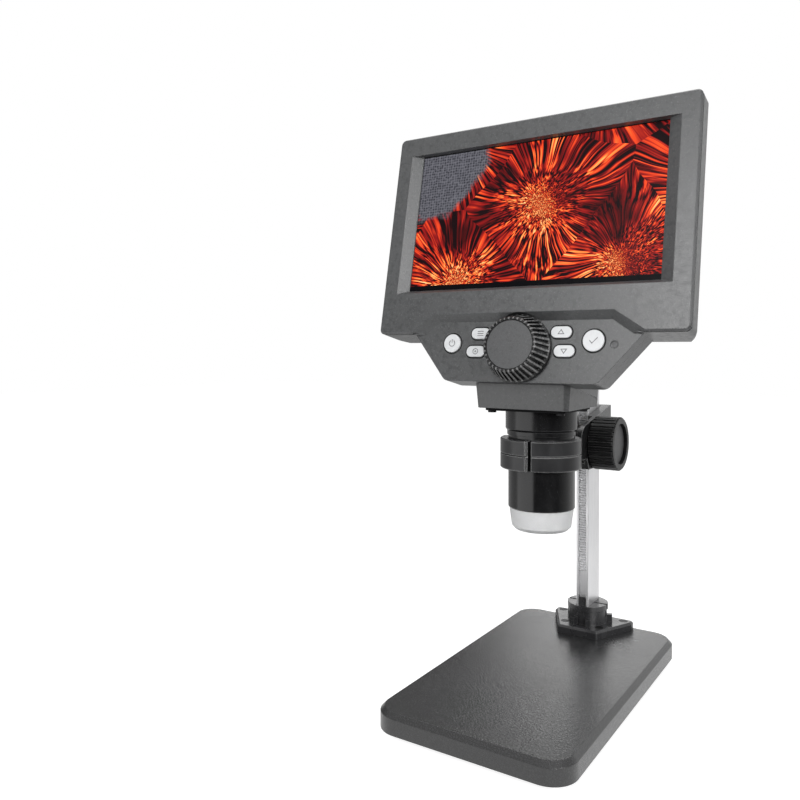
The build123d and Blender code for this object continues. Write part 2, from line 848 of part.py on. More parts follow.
with BuildPart() as holder_ring:
    with BuildSketch(Plane.XY.offset(ring_bottom)):
        with Locations((0, barrel_y)):
            Circle(ring_radius)
        with Locations((0, (barrel_y + carriage_front) / 2)):
            Rectangle(2 * ring_tang_half, carriage_front - barrel_y)
    extrude(amount=ring_height)
    with BuildSketch(Plane.XY.offset(ring_bottom)):
        with Locations((0, barrel_y)):
            Circle(ring_radius + ring_lip)
            with Locations((ring_radius, 0)):
                Rectangle(2 * ring_radius, 3 * ring_radius, mode=Mode.SUBTRACT)
            with Locations((0, ring_radius)):
                Rectangle(3 * ring_radius, 2 * ring_radius, mode=Mode.SUBTRACT)
    extrude(amount=ring_height)
    chamfer(faces().filter_by(Axis.Z).edges().filter_by(GeomType.CIRCLE), ring_edge)
    with BuildSketch(Plane.XY.offset(ring_middle)):
        with Locations((0, barrel_y)):
            Circle(ring_radius + 2 * ring_lip)
            Circle(ring_radius - ring_groove, mode=Mode.SUBTRACT)
        with Locations((0, (barrel_y + carriage_front) / 2 + ring_radius)):
            Rectangle(2 * ring_tang_half, carriage_front - barrel_y, mode=Mode.SUBTRACT)
    extrude(amount=ring_groove / 2, both=True, mode=Mode.SUBTRACT)
    with BuildSketch(Plane.XY.offset(ring_bottom)):
        with Locations((0, barrel_y)):
            Circle(lower_barrel_radius + bore_gap)
        with Locations((ring_slit_x, barrel_y - ring_radius)):
            Rectangle(ring_slit, ring_radius)
    extrude(amount=ring_height, mode=Mode.SUBTRACT)
    with BuildSketch(Plane.XZ.offset(-carriage_front)):
        with Locations(*ring_screw_points):
            Circle(ring_screw_radius + seat_gap)
    extrude(amount=ring_screw_length, mode=Mode.SUBTRACT)
save(holder_ring, "holder_ring")

with BuildPart() as ring_screws:
    with BuildSketch(Plane.XZ.offset(-cavity_front)):
        with Locations(*ring_screw_points):
            Circle(ring_screw_head)
    extrude(amount=-ring_screw_head_height)
    with BuildSketch(Plane.XZ.offset(-cavity_front)):
        with Locations(*ring_screw_points):
            Circle(ring_screw_radius)
    extrude(amount=ring_screw_length)
save(ring_screws, "ring_screws")

with BuildPart() as friction_pad:
    with BuildSketch(Plane.XZ.offset(-channel_rear)):
        with Locations((0, pad_z)):
            RectangleRounded(pad_width, pad_height, pad_corner)
    extrude(amount=pad_thick)
save(friction_pad, "friction_pad")

with BuildPart() as tension_screws:
    with BuildSketch(Plane.XZ.offset(-channel_rear)):
        with Locations(*pad_screw_points):
            Circle(pad_screw_radius)
    extrude(amount=-channel_rear_wall + pad_screw_sink)
    with BuildSketch(Plane.XZ.offset(-carriage_rear + pad_screw_sink)):
        with Locations(*pad_screw_points):
            RegularPolygon(pad_screw_radius * 0.6, 6)
    extrude(amount=pad_socket_depth, mode=Mode.SUBTRACT)
save(tension_screws, "tension_screws")

with BuildPart() as shaft_bushes:
    for side in (-1, 1):
        with BuildSketch(Plane.YZ.offset(side * (carriage_half - plate_thick))):
            side_disc(bush_radius)
        extrude(amount=side * plate_thick)
        with BuildSketch(Plane.YZ.offset(side * (carriage_half - plate_thick))):
            side_disc(bush_flange_radius)
        extrude(amount=-side * bush_flange_thick)
    with BuildSketch(Plane.YZ):
        side_disc(height_shaft_radius + bore_gap)
    extrude(amount=carriage_half, both=True, mode=Mode.SUBTRACT)
save(shaft_bushes, "shaft_bushes")

# ---- Height shaft, pinion and knob ----

knob_rear_x = carriage_half + knob_gap
knob_front_x = knob_rear_x + height_knob_length
shaft_left_x = -(carriage_half + clip_thick + shaft_tail)
knob_web_x = knob_front_x - height_knob_face_recess - height_knob_face_thick

with BuildPart() as height_shaft:
    with BuildSketch(Plane.YZ.offset(shaft_left_x)):
        side_disc(height_shaft_radius)
    extrude(amount=knob_web_x - shaft_left_x)
    chamfer(edges().filter_by(GeomType.CIRCLE), shaft_edge)
save(height_shaft, "height_shaft")

with BuildPart() as height_pinion:
    with BuildSketch(height_plane(-pinion_face / 2)):
        gear_outline(height_module, height_teeth, 0.0)
        Circle(height_shaft_radius + seat_gap, mode=Mode.SUBTRACT)
    extrude(amount=pinion_face)
save(height_pinion, "height_pinion")

with BuildPart() as height_knob:
    with BuildSketch(height_plane(knob_rear_x)):
        Circle(height_knob_radius)
        with PolarLocations(height_knob_radius, height_knob_ribs):
            Rectangle(2 * rib_groove_depth, rib_groove_width, mode=Mode.SUBTRACT)
    extrude(amount=height_knob_length)
    with BuildSketch(height_plane(knob_front_x)):
        Circle(height_knob_face_radius)
    extrude(amount=-height_knob_face_recess - height_knob_face_thick, mode=Mode.SUBTRACT)
    with BuildSketch(height_plane(knob_rear_x)):
        Circle(height_knob_hollow_radius)
        Circle(hub_radius, mode=Mode.SUBTRACT)
    extrude(amount=height_knob_hollow_depth, mode=Mode.SUBTRACT)
    with BuildSketch(height_plane(knob_rear_x)):
        Circle(height_shaft_radius + seat_gap)
    extrude(amount=height_knob_length, mode=Mode.SUBTRACT)
    with BuildSketch(height_side):
        with BuildLine():
            Polyline(
                (knob_front_x - knob_edge, height_knob_radius),
                (knob_front_x, height_knob_radius - knob_edge),
                (knob_front_x, height_knob_radius + knob_edge),
                close=True,
            )
        make_face()
    revolve(axis=height_axis, mode=Mode.SUBTRACT)
save(height_knob, "height_knob")

with BuildPart() as height_knob_cap:
    with BuildSketch(height_plane(knob_web_x)):
        Circle(height_knob_face_radius - seat_gap)
    extrude(amount=height_knob_face_thick)
    fillet(faces().sort_by(Axis.X)[-1].edges(), cap_edge)
save(height_knob_cap, "height_knob_cap")

with BuildPart() as shaft_clip:
    with BuildSketch(height_plane(-carriage_half - knob_gap / 2)):
        Circle(clip_radius)
        Circle(height_shaft_radius + seat_gap, mode=Mode.SUBTRACT)
        with Locations((-clip_radius, 0)):
            Rectangle(2 * clip_radius, height_shaft_radius * 1.5, mode=Mode.SUBTRACT)
    extrude(amount=-clip_thick)
save(shaft_clip, "shaft_clip")


# ==== Barrel ===================================================================================

barrel_axis = Axis((0, barrel_y, 0), (0, 0, 1))
# Plane through the barrel's axis: x is the distance from it, y is the height.
barrel_side = Plane(origin=(0, barrel_y, 0), x_dir=(1, 0, 0), z_dir=(0, -1, 0))
neck_screw_points = [
    (sx * neck_screw_x, neck_middle + sy * neck_screw_y) for sx in (-1, 1) for sy in (-1, 1)
]

with BuildPart() as neck_plate:
    with BuildSketch(Plane.XY.offset(plate_bottom)):
        with Locations((0, neck_middle)):
            Rectangle(2 * (neck_half - neck_lip), neck_rear - neck_front - 2 * neck_lip)
            chamfer(vertices(), neck_corner)
        with Locations((0, barrel_y)):
            Circle(barrel_throat, mode=Mode.SUBTRACT)
        with Locations(*neck_screw_points):
            Circle(neck_screw_radius + seat_gap, mode=Mode.SUBTRACT)
    extrude(amount=neck_plate_thick)
save(neck_plate, "neck_plate")

with BuildPart() as upper_barrel:
    with BuildSketch(barrel_side):
        with BuildLine():
            Polyline(
                (barrel_throat, plate_bottom),
                (upper_barrel_radius, plate_bottom),
                (upper_barrel_radius, upper_barrel_knee),
                (upper_barrel_radius - upper_barrel_step, upper_barrel_knee - upper_barrel_ease),
                (upper_barrel_radius - upper_barrel_step, upper_barrel_bottom),
                (lower_barrel_radius + seat_gap, upper_barrel_bottom),
                (lower_barrel_radius + seat_gap, lower_barrel_top),
                (barrel_throat, lower_barrel_top),
                close=True,
            )
        make_face()
    revolve(axis=barrel_axis)
save(upper_barrel, "upper_barrel")

with BuildPart() as lower_barrel:
    with BuildSketch(barrel_side):
        with BuildLine():
            Polyline(
                (barrel_bore, lower_barrel_bottom),
                (lower_barrel_radius - barrel_edge, lower_barrel_bottom),
                (lower_barrel_radius, lower_barrel_bottom + barrel_edge),
                (lower_barrel_radius, lower_barrel_top),
                (barrel_bore, lower_barrel_top),
                close=True,
            )
        make_face()
    revolve(axis=barrel_axis)
save(lower_barrel, "lower_barrel")

with BuildPart() as diffuser_cap:
    with BuildSketch(barrel_side):
        with BuildLine():
            Polyline(
                (diffuser_hole, diffuser_bottom),
                (diffuser_bottom_radius - diffuser_round, diffuser_bottom),
                (diffuser_bottom_radius, diffuser_bottom + diffuser_round),
                (diffuser_top_radius, lower_barrel_bottom),
                (barrel_bore - seat_gap, lower_barrel_bottom),
                (barrel_bore - seat_gap, led_board_bottom),
                (barrel_bore - diffuser_wall, led_board_bottom),
                (diffuser_bottom_radius - diffuser_wall, diffuser_bottom + diffuser_round + 0.5),
                (diffuser_bottom_radius - diffuser_round, diffuser_bottom + diffuser_wall),
                (diffuser_hole, diffuser_bottom + diffuser_wall),
                close=True,
            )
        make_face()
    revolve(axis=barrel_axis)
save(diffuser_cap, "diffuser_cap")

with BuildPart() as led_board:
    with BuildSketch(Plane.XY.offset(led_board_bottom)):
        with Locations((0, barrel_y)):
            Circle(barrel_bore - seat_gap)
            Circle(led_board_hole, mode=Mode.SUBTRACT)
    extrude(amount=led_board_thick)
save(led_board, "led_board")

with BuildPart() as leds:
    with BuildSketch(Plane.XY.offset(led_board_bottom)):
        with Locations((0, barrel_y)):
            with PolarLocations(led_ring_radius, led_count):
                Circle(led_radius)
    extrude(amount=-led_height)
    fillet(faces().group_by(Axis.Z)[0].edges(), led_radius * 0.6)
save(leds, "leds")


# ==== Head case ================================================================================

button_holes = [(power_at, power_radius), (ok_at, ok_radius)]
oval_holes = [up_at, down_at, menu_at, mode_at]
case_screws_at = mirrored(head_screw_top) + mirrored(head_screw_low) + mirrored(head_screw_panel)
switch_points = [power_at, ok_at] + oval_holes
key_posts = mirrored(key_post_high) + mirrored(key_post_low)
board_posts = mirrored((board_post_x, board_post_low)) + mirrored((board_post_x, board_post_high))

with BuildPart() as front_shell:
    with BuildSketch(head_plane(parting_depth)):
        bezel_outline()
    extrude(amount=parting_depth)
    chamfer(faces().filter_by(Plane(origin=(0, 0, 0), z_dir=head_out)).sort_by(Axis.Y)[0].edges(), bezel_edge)
    with BuildSketch(head_plane(parting_depth)):
        panel_outline()
    extrude(amount=parting_depth - panel_depth)
    # the surround is cut back over the panel, with sloping walls
    with BuildSketch(head_plane(0)):
        step_outline(step_half, step_height, step_foot_half)
    with BuildSketch(head_plane(panel_depth)):
        step_outline(step_low_half, step_low_height, step_low_foot_half)
    loft(mode=Mode.SUBTRACT)
    with BuildSketch(head_plane(0)):
        with Locations((0, focus_at)):
            Circle(focus_knob_rear + 2 * slide_gap)
    extrude(amount=-panel_depth, mode=Mode.SUBTRACT)
    # the screen's opening narrows to its window
    with BuildSketch(head_plane(0)):
        with Locations((0, screen_middle)):
            Rectangle(screen_width, screen_height)
    with BuildSketch(head_plane(slope_depth)):
        with Locations((0, screen_middle + slope_low / 2)):
            Rectangle(window_width, window_height)
    loft(mode=Mode.SUBTRACT)
    with BuildSketch(head_plane(0)):
        with Locations((0, screen_middle + slope_low / 2)):
            Rectangle(window_width, window_height)
    extrude(amount=-parting_depth, mode=Mode.SUBTRACT)
    # hollow behind the surround, leaving the ribs round the screen and the walls of the step
    with BuildSketch(head_plane(parting_depth)):
        bezel_outline(case_wall)
        with Locations((0, screen_middle)):
            Rectangle(screen_width + 2 * screen_rib, screen_height + 2 * screen_rib, mode=Mode.SUBTRACT)
        Rectangle(2 * step_foot_half, 2 * (step_height + case_wall), mode=Mode.SUBTRACT)
        with Locations(*case_screws_at):
            Circle(head_boss_radius, mode=Mode.SUBTRACT)
    extrude(amount=parting_depth - front_wall, mode=Mode.SUBTRACT)
    with BuildSketch(head_plane(parting_depth)):
        with Locations((0, screen_middle)):
            Rectangle(lcd_width + 2 * seat_gap, lcd_height + 2 * seat_gap)
    extrude(amount=parting_depth - screen_depth, mode=Mode.SUBTRACT)
    with BuildSketch(head_plane(parting_depth)):
        case_outline()
        offset(amount=-case_wall)
        with Locations(*case_screws_at):
            Circle(head_boss_radius, mode=Mode.SUBTRACT)
        with Locations(*key_posts):
            Circle(key_post_radius, mode=Mode.SUBTRACT)
    extrude(amount=parting_depth - panel_depth - front_wall, mode=Mode.SUBTRACT)
    with BuildSketch(head_plane(parting_depth)):
        with Locations(*key_posts):
            Circle(key_post_radius + seat_gap)
    extrude(amount=parting_depth - key_board_depth, mode=Mode.SUBTRACT)
    # seam round the surround
    with BuildSketch(head_plane(seam_depth)):
        bezel_outline()
        bezel_outline_cut = offset(amount=-seam_cut, mode=Mode.PRIVATE)
        add(bezel_outline_cut, mode=Mode.SUBTRACT)
    extrude(amount=-seam_width, mode=Mode.SUBTRACT)
    # holes for the screws, keys, focus shaft and indicator
    with BuildSketch(head_plane(parting_depth)):
        with Locations(*case_screws_at):
            Circle(head_screw_radius + seat_gap)
    extrude(amount=head_screw_grip, mode=Mode.SUBTRACT)
    with BuildSketch(head_plane(panel_depth)):
        for centre, radius in button_holes:
            with Locations(centre):
                Circle(radius + button_gap)
        with Locations(*oval_holes):
            SlotOverall(oval_length + 2 * button_gap, oval_height + 2 * button_gap)
        with Locations((0, focus_at)):
            Circle(focus_bush_radius + seat_gap)
        with Locations(light_at):
            Circle(light_radius + seat_gap)
    extrude(amount=-front_wall, mode=Mode.SUBTRACT)
    with BuildSketch(head_plane(panel_depth)):
        with Locations(light_at):
            Circle(light_well)
    extrude(amount=-front_wall / 3, mode=Mode.SUBTRACT)
save(front_shell, "front_shell")

tower_shape = [
    (parting_depth + 1, -panel_drop),
    (tower_depth, -panel_drop),
    (tower_depth, tower_rise),
    (rear_depth, tower_slope_top),
    (parting_depth + 1, tower_slope_top),
]

with BuildPart() as rear_cover:
    with BuildSketch(head_plane(parting_depth)):
        bezel_outline()
    extrude(amount=parting_depth - rear_depth)
    # behind the screen the sides slope in towards the rear
    with BuildSketch(Plane(origin=head_point(0, -1, 0), x_dir=(1, 0, 0), z_dir=head_up)):
        for side in (-1, 1):
            with BuildLine():
                Polyline(
                    (side * bezel_width / 2, parting_depth + rear_side),
                    (side * (bezel_width / 2 + 1), parting_depth + rear_side),
                    (side * (bezel_width / 2 + 1), rear_depth + 1),
                    (side * (bezel_width / 2 - rear_inset), rear_depth + 1),
                    close=True,
                )
            make_face()
    extrude(amount=bezel_height + 2, mode=Mode.SUBTRACT)
    with BuildSketch(head_plane(parting_depth)):
        panel_outline()
    extrude(amount=-rear_panel_side)
    with BuildSketch(head_plane(parting_depth + rear_panel_side)):
        panel_outline()
    extrude(amount=-(rear_depth - parting_depth - rear_panel_side), taper=rear_panel_taper)
    with BuildSketch(head_side):
        with BuildLine():
            Polyline(*tower_shape, close=True)
        make_face()
    extrude(amount=tower_half, both=True)
    upright = edges().filter_by(Axis((0, 0, 0), tuple(head_up)))
    outer = [edge for edge in upright if head_side.to_local_coords(edge.center()).X > rear_depth + 1]
    fillet(outer, tower_round)
    # hollow: the shallow part follows the walls, the deep part stays inside the taper
    with BuildSketch(head_plane(parting_depth)):
        case_outline()
        offset(amount=-case_wall)
        with Locations(*case_screws_at):
            Circle(head_boss_radius, mode=Mode.SUBTRACT)
    extrude(amount=-rear_straight, mode=Mode.SUBTRACT)
    with BuildSketch(head_plane(parting_depth + rear_straight)):
        case_outline()
        offset(amount=-rear_hollow_inset)
        with Locations(*case_screws_at):
            Circle(head_boss_radius, mode=Mode.SUBTRACT)
        with Locations(*board_posts):
            Circle(board_post_radius, mode=Mode.SUBTRACT)
    extrude(amount=-(rear_depth - parting_depth - rear_straight - case_wall), mode=Mode.SUBTRACT)
    with BuildSketch(head_side):
        with BuildLine():
            Polyline(*tower_shape, close=True)
        make_face()
        offset(amount=-case_wall)
    extrude(amount=tower_half - case_wall, both=True, mode=Mode.SUBTRACT)
    with BuildSketch(Plane.XY.offset(neck_bottom)):
        with Locations((0, barrel_y)):
            Circle(barrel_throat)
    extrude(amount=neck_plane_front - neck_bottom, mode=Mode.SUBTRACT)
    # wells for the case screws, through to the front shell
    with BuildSketch(head_plane(rear_depth + 1)):
        with Locations(*case_screws_at):
            Circle(head_screw_head + seat_gap)
    extrude(amount=rear_depth + 1 - parting_depth - head_screw_seat, mode=Mode.SUBTRACT)
    with BuildSketch(head_plane(parting_depth + head_screw_seat + 1)):
        with Locations(*case_screws_at):
            Circle(head_screw_radius + seat_gap)
    extrude(amount=head_screw_seat + 2, mode=Mode.SUBTRACT)
    # vents
    with BuildSketch(head_plane(rear_depth)):
        for middle in mirrored(vent_at):
            with Locations(middle):
                with GridLocations(0, vent_pitch, 1, vent_count):
                    SlotOverall(vent_length, vent_width)
    extrude(amount=case_wall + seat_gap, mode=Mode.SUBTRACT)
    # openings for the two sockets in the left slanted side
    for place, width, height in ((usb_place, usb_width, usb_height), (card_place, card_width, card_height)):
        with BuildSketch(place):
            Rectangle(width + 2 * port_gap, height + 2 * port_gap)
        extrude(amount=port_reach, both=True, mode=Mode.SUBTRACT)
save(rear_cover, "rear_cover")

with BuildPart() as case_screws:
    with BuildSketch(head_plane(parting_depth + head_screw_seat)):
        with Locations(*case_screws_at):
            Circle(head_screw_head)
    extrude(amount=-head_screw_head_height)
    with BuildSketch(head_plane(parting_depth + head_screw_seat)):
        with Locations(*case_screws_at):
            Circle(head_screw_radius)
    extrude(amount=head_screw_seat + head_screw_grip - 1)
save(case_screws, "case_screws")

with BuildPart() as neck_block:
    with BuildSketch(Plane.XY.offset(neck_bottom)):
        with Locations((0, neck_middle)):
            Rectangle(2 * neck_half, neck_rear - neck_front)
            chamfer(vertices(), neck_corner)
    extrude(amount=neck_plane_front - neck_bottom, taper=-neck_draft)
    with BuildSketch(Plane.XY.offset(neck_bottom + neck_floor)):
        with Locations((0, neck_middle)):
            Rectangle(2 * (neck_half - neck_wall), neck_rear - neck_front - 2 * neck_wall)
        with Locations(*neck_screw_points):
            Circle(neck_boss_radius, mode=Mode.SUBTRACT)
    extrude(amount=neck_plane_front, mode=Mode.SUBTRACT)
    with BuildSketch(Plane.XY.offset(neck_bottom)):
        with Locations((0, barrel_y)):
            Circle(barrel_throat)
        with Locations(*neck_screw_points):
            Circle(neck_screw_radius + seat_gap)
    extrude(amount=neck_screw_grip, mode=Mode.SUBTRACT)
    split(bisect_by=head_floor, keep=Keep.TOP)
save(neck_block, "neck_block")

with BuildPart() as neck_screws:
    with BuildSketch(Plane.XY.offset(plate_bottom)):
        with Locations(*neck_screw_points):
            Circle(neck_screw_head)
    extrude(amount=-neck_screw_head_height)
    with BuildSketch(Plane.XY.offset(plate_bottom)):
        with Locations(*neck_screw_points):
            Circle(neck_screw_radius)
    extrude(amount=neck_plate_thick + neck_screw_grip - 0.5)
save(neck_screws, "neck_screws")


# ==== Screen and electronics ===================================================================

with BuildPart() as lcd_panel:
    with BuildSketch(head_plane(screen_depth)):
        with Locations((0, screen_middle)):
            Rectangle(lcd_width, lcd_height)
    extrude(amount=-lcd_glass_thick)
save(lcd_panel, "lcd_panel")

with BuildPart() as lcd_backlight:
    with BuildSketch(head_plane(screen_depth + lcd_glass_thick)):
        with Locations((0, screen_middle)):
            Rectangle(lcd_width, lcd_height)
    extrude(amount=-backlight_thick)
save(lcd_backlight, "lcd_backlight")


def slant_half(height):
    """Half width of the case's outline at a height on its slanted sides."""
    return panel_top_half + (panel_top_half - panel_bottom_half) * height / panel_drop


with BuildPart() as main_board:
    with BuildSketch(head_plane(board_depth)):
        with BuildLine():
            Polyline(
                (board_half, board_top),
                (board_half, board_bottom),
                (-board_tab_inner, board_bottom),
                (-board_tab_inner, board_tab_low),
                (board_tab_inset - slant_half(board_tab_low), board_tab_low),
                (board_tab_inset - slant_half(board_tab_top), board_tab_top),
                (board_tab_inset - slant_half(board_tab_top), board_bottom),
                (-board_half, board_bottom),
                (-board_half, board_top),
                close=True,
            )
        make_face()
    extrude(amount=-board_thick)
    # the main chips stand on the rear face
    with BuildSketch(head_plane(board_depth + board_thick)):
        for centre, size in board_chips:
            with Locations(centre):
                Rectangle(*size)
    extrude(amount=-chip_height)
save(main_board, "main_board")

with BuildPart() as battery:
    with BuildSketch(head_plane(board_depth + board_thick)):
        with Locations(battery_at):
            RectangleRounded(battery_width, battery_height, battery_corner)
    extrude(amount=-battery_thick)
save(battery, "battery")

with BuildPart() as usb_socket:
    with BuildSketch(usb_place):
        RectangleRounded(usb_width, usb_height, usb_end_radius)
        offset(amount=-port_wall, mode=Mode.SUBTRACT)
    extrude(amount=-usb_length)
    with BuildSketch(usb_place.offset(-usb_length)):
        RectangleRounded(usb_width, usb_height, usb_end_radius)
    extrude(amount=socket_back)
    with BuildSketch(usb_place.offset(-usb_length)):
        Rectangle(usb_tongue_width, usb_tongue_thick)
    extrude(amount=usb_length - socket_back)
save(usb_socket, "usb_socket")

with BuildPart() as card_socket:
    with BuildSketch(card_place):
        Rectangle(card_width, card_height)
        Rectangle(card_width - 2 * port_wall, card_height - 2 * port_wall, mode=Mode.SUBTRACT)
    extrude(amount=-card_length)
    with BuildSketch(card_place.offset(-card_length)):
        Rectangle(card_width, card_height)
    extrude(amount=socket_back)
save(card_socket, "card_socket")

with BuildPart() as key_board:
    with BuildSketch(head_plane(key_board_depth)):
        trapezoid(key_board_top_half, key_board_top, key_board_low_half, key_board_low)
        with Locations((0, focus_at)):
            Circle(key_board_hole, mode=Mode.SUBTRACT)
        with Locations(*mirrored(head_screw_panel)):
            Circle(head_boss_radius + slide_gap, mode=Mode.SUBTRACT)
    extrude(amount=-key_board_thick)
save(key_board, "key_board")


# ==== Keys =====================================================================================

flange_front = panel_back + seat_gap
key_rear = flange_front + key_flange_thick
switch_front = key_rear + key_travel + switch_gap


def key_body(outline, flange):
    """Key cap through the panel, its flange behind the panel and its rear face over the switch."""
    with BuildPart() as key:
        with BuildSketch(head_plane(panel_depth - key_proud)):
            outline()
        extrude(amount=-(flange_front + key_flange_thick - panel_depth + key_proud))
        fillet(faces().sort_by(Axis.Y)[0].edges(), key_edge)
        with BuildSketch(head_plane(flange_front)):
            flange()
        extrude(amount=-key_flange_thick)
    return key


def round_key(node, centre, radius):
    """Round key at centre."""

    def disc(grow=0.0):
        with Locations(centre):
            Circle(radius + grow)

    save(key_body(disc, lambda: disc(button_gap + key_flange)), node)


def oval_key(node, centre):
    """Oval key at centre."""

    def oval(grow=0.0):
        with Locations(centre):
            SlotOverall(oval_length + 2 * grow, oval_height + 2 * grow)

    save(key_body(oval, lambda: oval(button_gap + key_flange)), node)


round_key("power_button", power_at, power_radius)
round_key("ok_button", ok_at, ok_radius)
oval_key("up_button", up_at)
oval_key("down_button", down_at)
oval_key("menu_button", menu_at)
oval_key("mode_button", mode_at)

with BuildPart() as key_switches:
    with BuildSketch(head_plane(key_board_depth)):
        with Locations(*switch_points):
            Rectangle(switch_size, switch_size)
    extrude(amount=key_board_depth - switch_front)
save(key_switches, "key_switches")

with BuildPart() as status_light:
    with BuildSketch(head_plane(panel_depth + front_wall / 3)):
        with Locations(light_at):
            Circle(light_radius)
    extrude(amount=-(key_board_depth - panel_depth - front_wall / 3))
save(status_light, "status_light")


# ==== Focus drive ==============================================================================

focus_origin = head_point(0, focus_at, 0)
focus_axis = Axis(focus_origin, head_out)
# Plane through the focus shaft: x is the distance from it, y is the depth.
focus_side = Plane(origin=focus_origin, x_dir=(1, 0, 0), z_dir=head_up)
focus_knob_base = panel_depth - slide_gap
focus_knob_front = focus_knob_base - focus_knob_length
focus_cone_start = focus_knob_base - focus_knob_flange - focus_flange_ease
focus_cap_floor = focus_knob_front + focus_face_recess + focus_face_thick
focus_hollow_floor = focus_cap_floor + focus_web
focus_face_radius = focus_cone_front - focus_rim


def focus_disc(depth, *radii):
    """Ring sketch round the focus shaft: the first radius outside, the second, if any, bored out."""
    with BuildSketch(head_plane(depth)) as disc:
        with Locations((0, focus_at)):
            Circle(radii[0])
            for radius in radii[1:]:
                Circle(radius, mode=Mode.SUBTRACT)
    return disc.sketch


def radial_plane(turn):
    """Plane through the focus shaft at an angle round it: x outwards, y inwards along the shaft."""
    outward = Vector(cos(turn), 0, 0) + head_up * sin(turn)
    return Plane(origin=focus_origin, x_dir=outward, z_dir=outward.cross(-head_out))


with BuildPart() as focus_knob:
    with BuildSketch(focus_side):
        with BuildLine():
            Polyline(
                (focus_shaft_radius + seat_gap, focus_knob_base),
                (focus_hub_radius, focus_knob_base),
                (focus_hub_radius, focus_hollow_floor),
                (focus_hollow_radius, focus_hollow_floor),
                (focus_hollow_radius + focus_hollow_flare, focus_knob_base),
                (focus_knob_rear, focus_knob_base),
                (focus_knob_rear, focus_knob_base - focus_knob_flange),
                (focus_cone_rear, focus_cone_start),
                (focus_cone_front, focus_knob_front + focus_front_round),
                (focus_cone_front - focus_front_round, focus_knob_front),
                (focus_face_radius, focus_knob_front),
                (focus_face_radius, focus_cap_floor),
                (focus_shaft_radius + seat_gap, focus_cap_floor),
                close=True,
            )
        make_face()
    revolve(axis=focus_axis)
    for rib in range(focus_knob_ribs):
        with BuildSketch(radial_plane(2 * pi * rib / focus_knob_ribs)):
            with BuildLine():
                Polyline(
                    (focus_cone_rear - focus_groove_depth, focus_cone_start),
                    (focus_cone_rear + 2, focus_cone_start),
                    (focus_cone_front + 2, focus_knob_front + focus_flange_ease),
                    (focus_cone_front - focus_groove_depth, focus_knob_front + focus_flange_ease),
                    close=True,
                )
            make_face()
    extrude(amount=focus_groove_half, both=True, mode=Mode.SUBTRACT)
save(focus_knob, "focus_knob")

with BuildPart() as focus_knob_face:
    extrude(focus_disc(focus_cap_floor, focus_face_radius - seat_gap), amount=focus_face_thick, dir=head_out)
save(focus_knob_face, "focus_knob_face")

with BuildPart() as focus_shaft:
    shaft_end = focus_disc(focus_shaft_end, focus_shaft_radius)
    extrude(shaft_end, amount=focus_shaft_end - focus_cap_floor, dir=head_out)
save(focus_shaft, "focus_shaft")

with BuildPart() as focus_bush:
    extrude(focus_disc(panel_back, focus_bush_radius), amount=front_wall, dir=head_out)
    extrude(focus_disc(panel_back, focus_bush_flange), amount=focus_bush_flange_thick, dir=-head_out)
    extrude(
        focus_disc(panel_back + focus_bush_flange_thick, focus_shaft_radius + bore_gap),
        amount=front_wall + focus_bush_flange_thick,
        dir=head_out,
        mode=Mode.SUBTRACT,
    )
save(focus_bush, "focus_bush")

with BuildPart() as focus_pinion:
    with BuildSketch(Plane(focus_origin - head_out * focus_pinion_depth, (1, 0, 0), head_out)):
        gear_outline(focus_module, focus_teeth, 0.0)
        Circle(focus_shaft_radius + seat_gap, mode=Mode.SUBTRACT)
    extrude(amount=-focus_pinion_face)
save(focus_pinion, "focus_pinion")

pinion_middle = focus_origin - head_out * (focus_pinion_depth + focus_pinion_face / 2)
rack_middle_y = pinion_middle.Y
rack_back_x = -(focus_pitch_radius + 1.25 * focus_module + focus_rack_back)
rack_root_x = -(focus_pitch_radius + 1.25 * focus_module)
focus_gaps = int((focus_rack_reach + focus_travel) / (pi * focus_module)) + 1
focus_rack_top = pinion_middle.Z + focus_rack_reach + focus_travel / 2
focus_rack_low = pinion_middle.Z - focus_rack_reach

with BuildPart() as focus_rack:
    with BuildSketch(head_plane(focus_pinion_depth + focus_pinion_face / 2)):
        rack_outline(focus_module, focus_at, focus_gaps, focus_gaps, -focus_pitch_radius, 1, rack_back_x)
    extrude(amount=2 * focus_pinion_face, both=True)
    with BuildSketch(Plane.XY.offset(focus_rack_low)):
        with Locations((0, rack_middle_y)):
            Rectangle(4 * focus_pitch_radius + 4, focus_rack_width)
    extrude(amount=focus_rack_top - focus_rack_low, mode=Mode.INTERSECT)
    with BuildSketch(Plane.XY.offset(carrier_top)):
        with Locations(((rack_back_x + rack_root_x) / 2, rack_middle_y)):
            Rectangle(rack_root_x - rack_back_x, focus_rack_width)
    extrude(amount=focus_rack_top - carrier_top)
    # round foot that closes the top of the lens carrier
    with BuildSketch(Plane.XY.offset(carrier_top)):
        with Locations((0, barrel_y)):
            Circle(carrier_radius)
            Circle(rack_foot_hole, mode=Mode.SUBTRACT)
    extrude(amount=rack_foot_thick)
save(focus_rack, "focus_rack")

with BuildPart() as lens_carrier:
    with BuildSketch(barrel_side):
        with BuildLine():
            Polyline(
                (nose_bore, carrier_bottom - nose_length),
                (nose_radius, carrier_bottom - nose_length),
                (nose_radius, carrier_bottom),
                (carrier_radius, carrier_bottom),
                (carrier_radius, carrier_top),
                (carrier_bore, carrier_top),
                (carrier_bore, rear_lens_z),
                (carrier_seat, rear_lens_z),
                (carrier_seat, carrier_bottom + carrier_floor),
                (nose_bore, carrier_bottom + carrier_floor),
                close=True,
            )
        make_face()
    revolve(axis=barrel_axis)
save(lens_carrier, "lens_carrier")


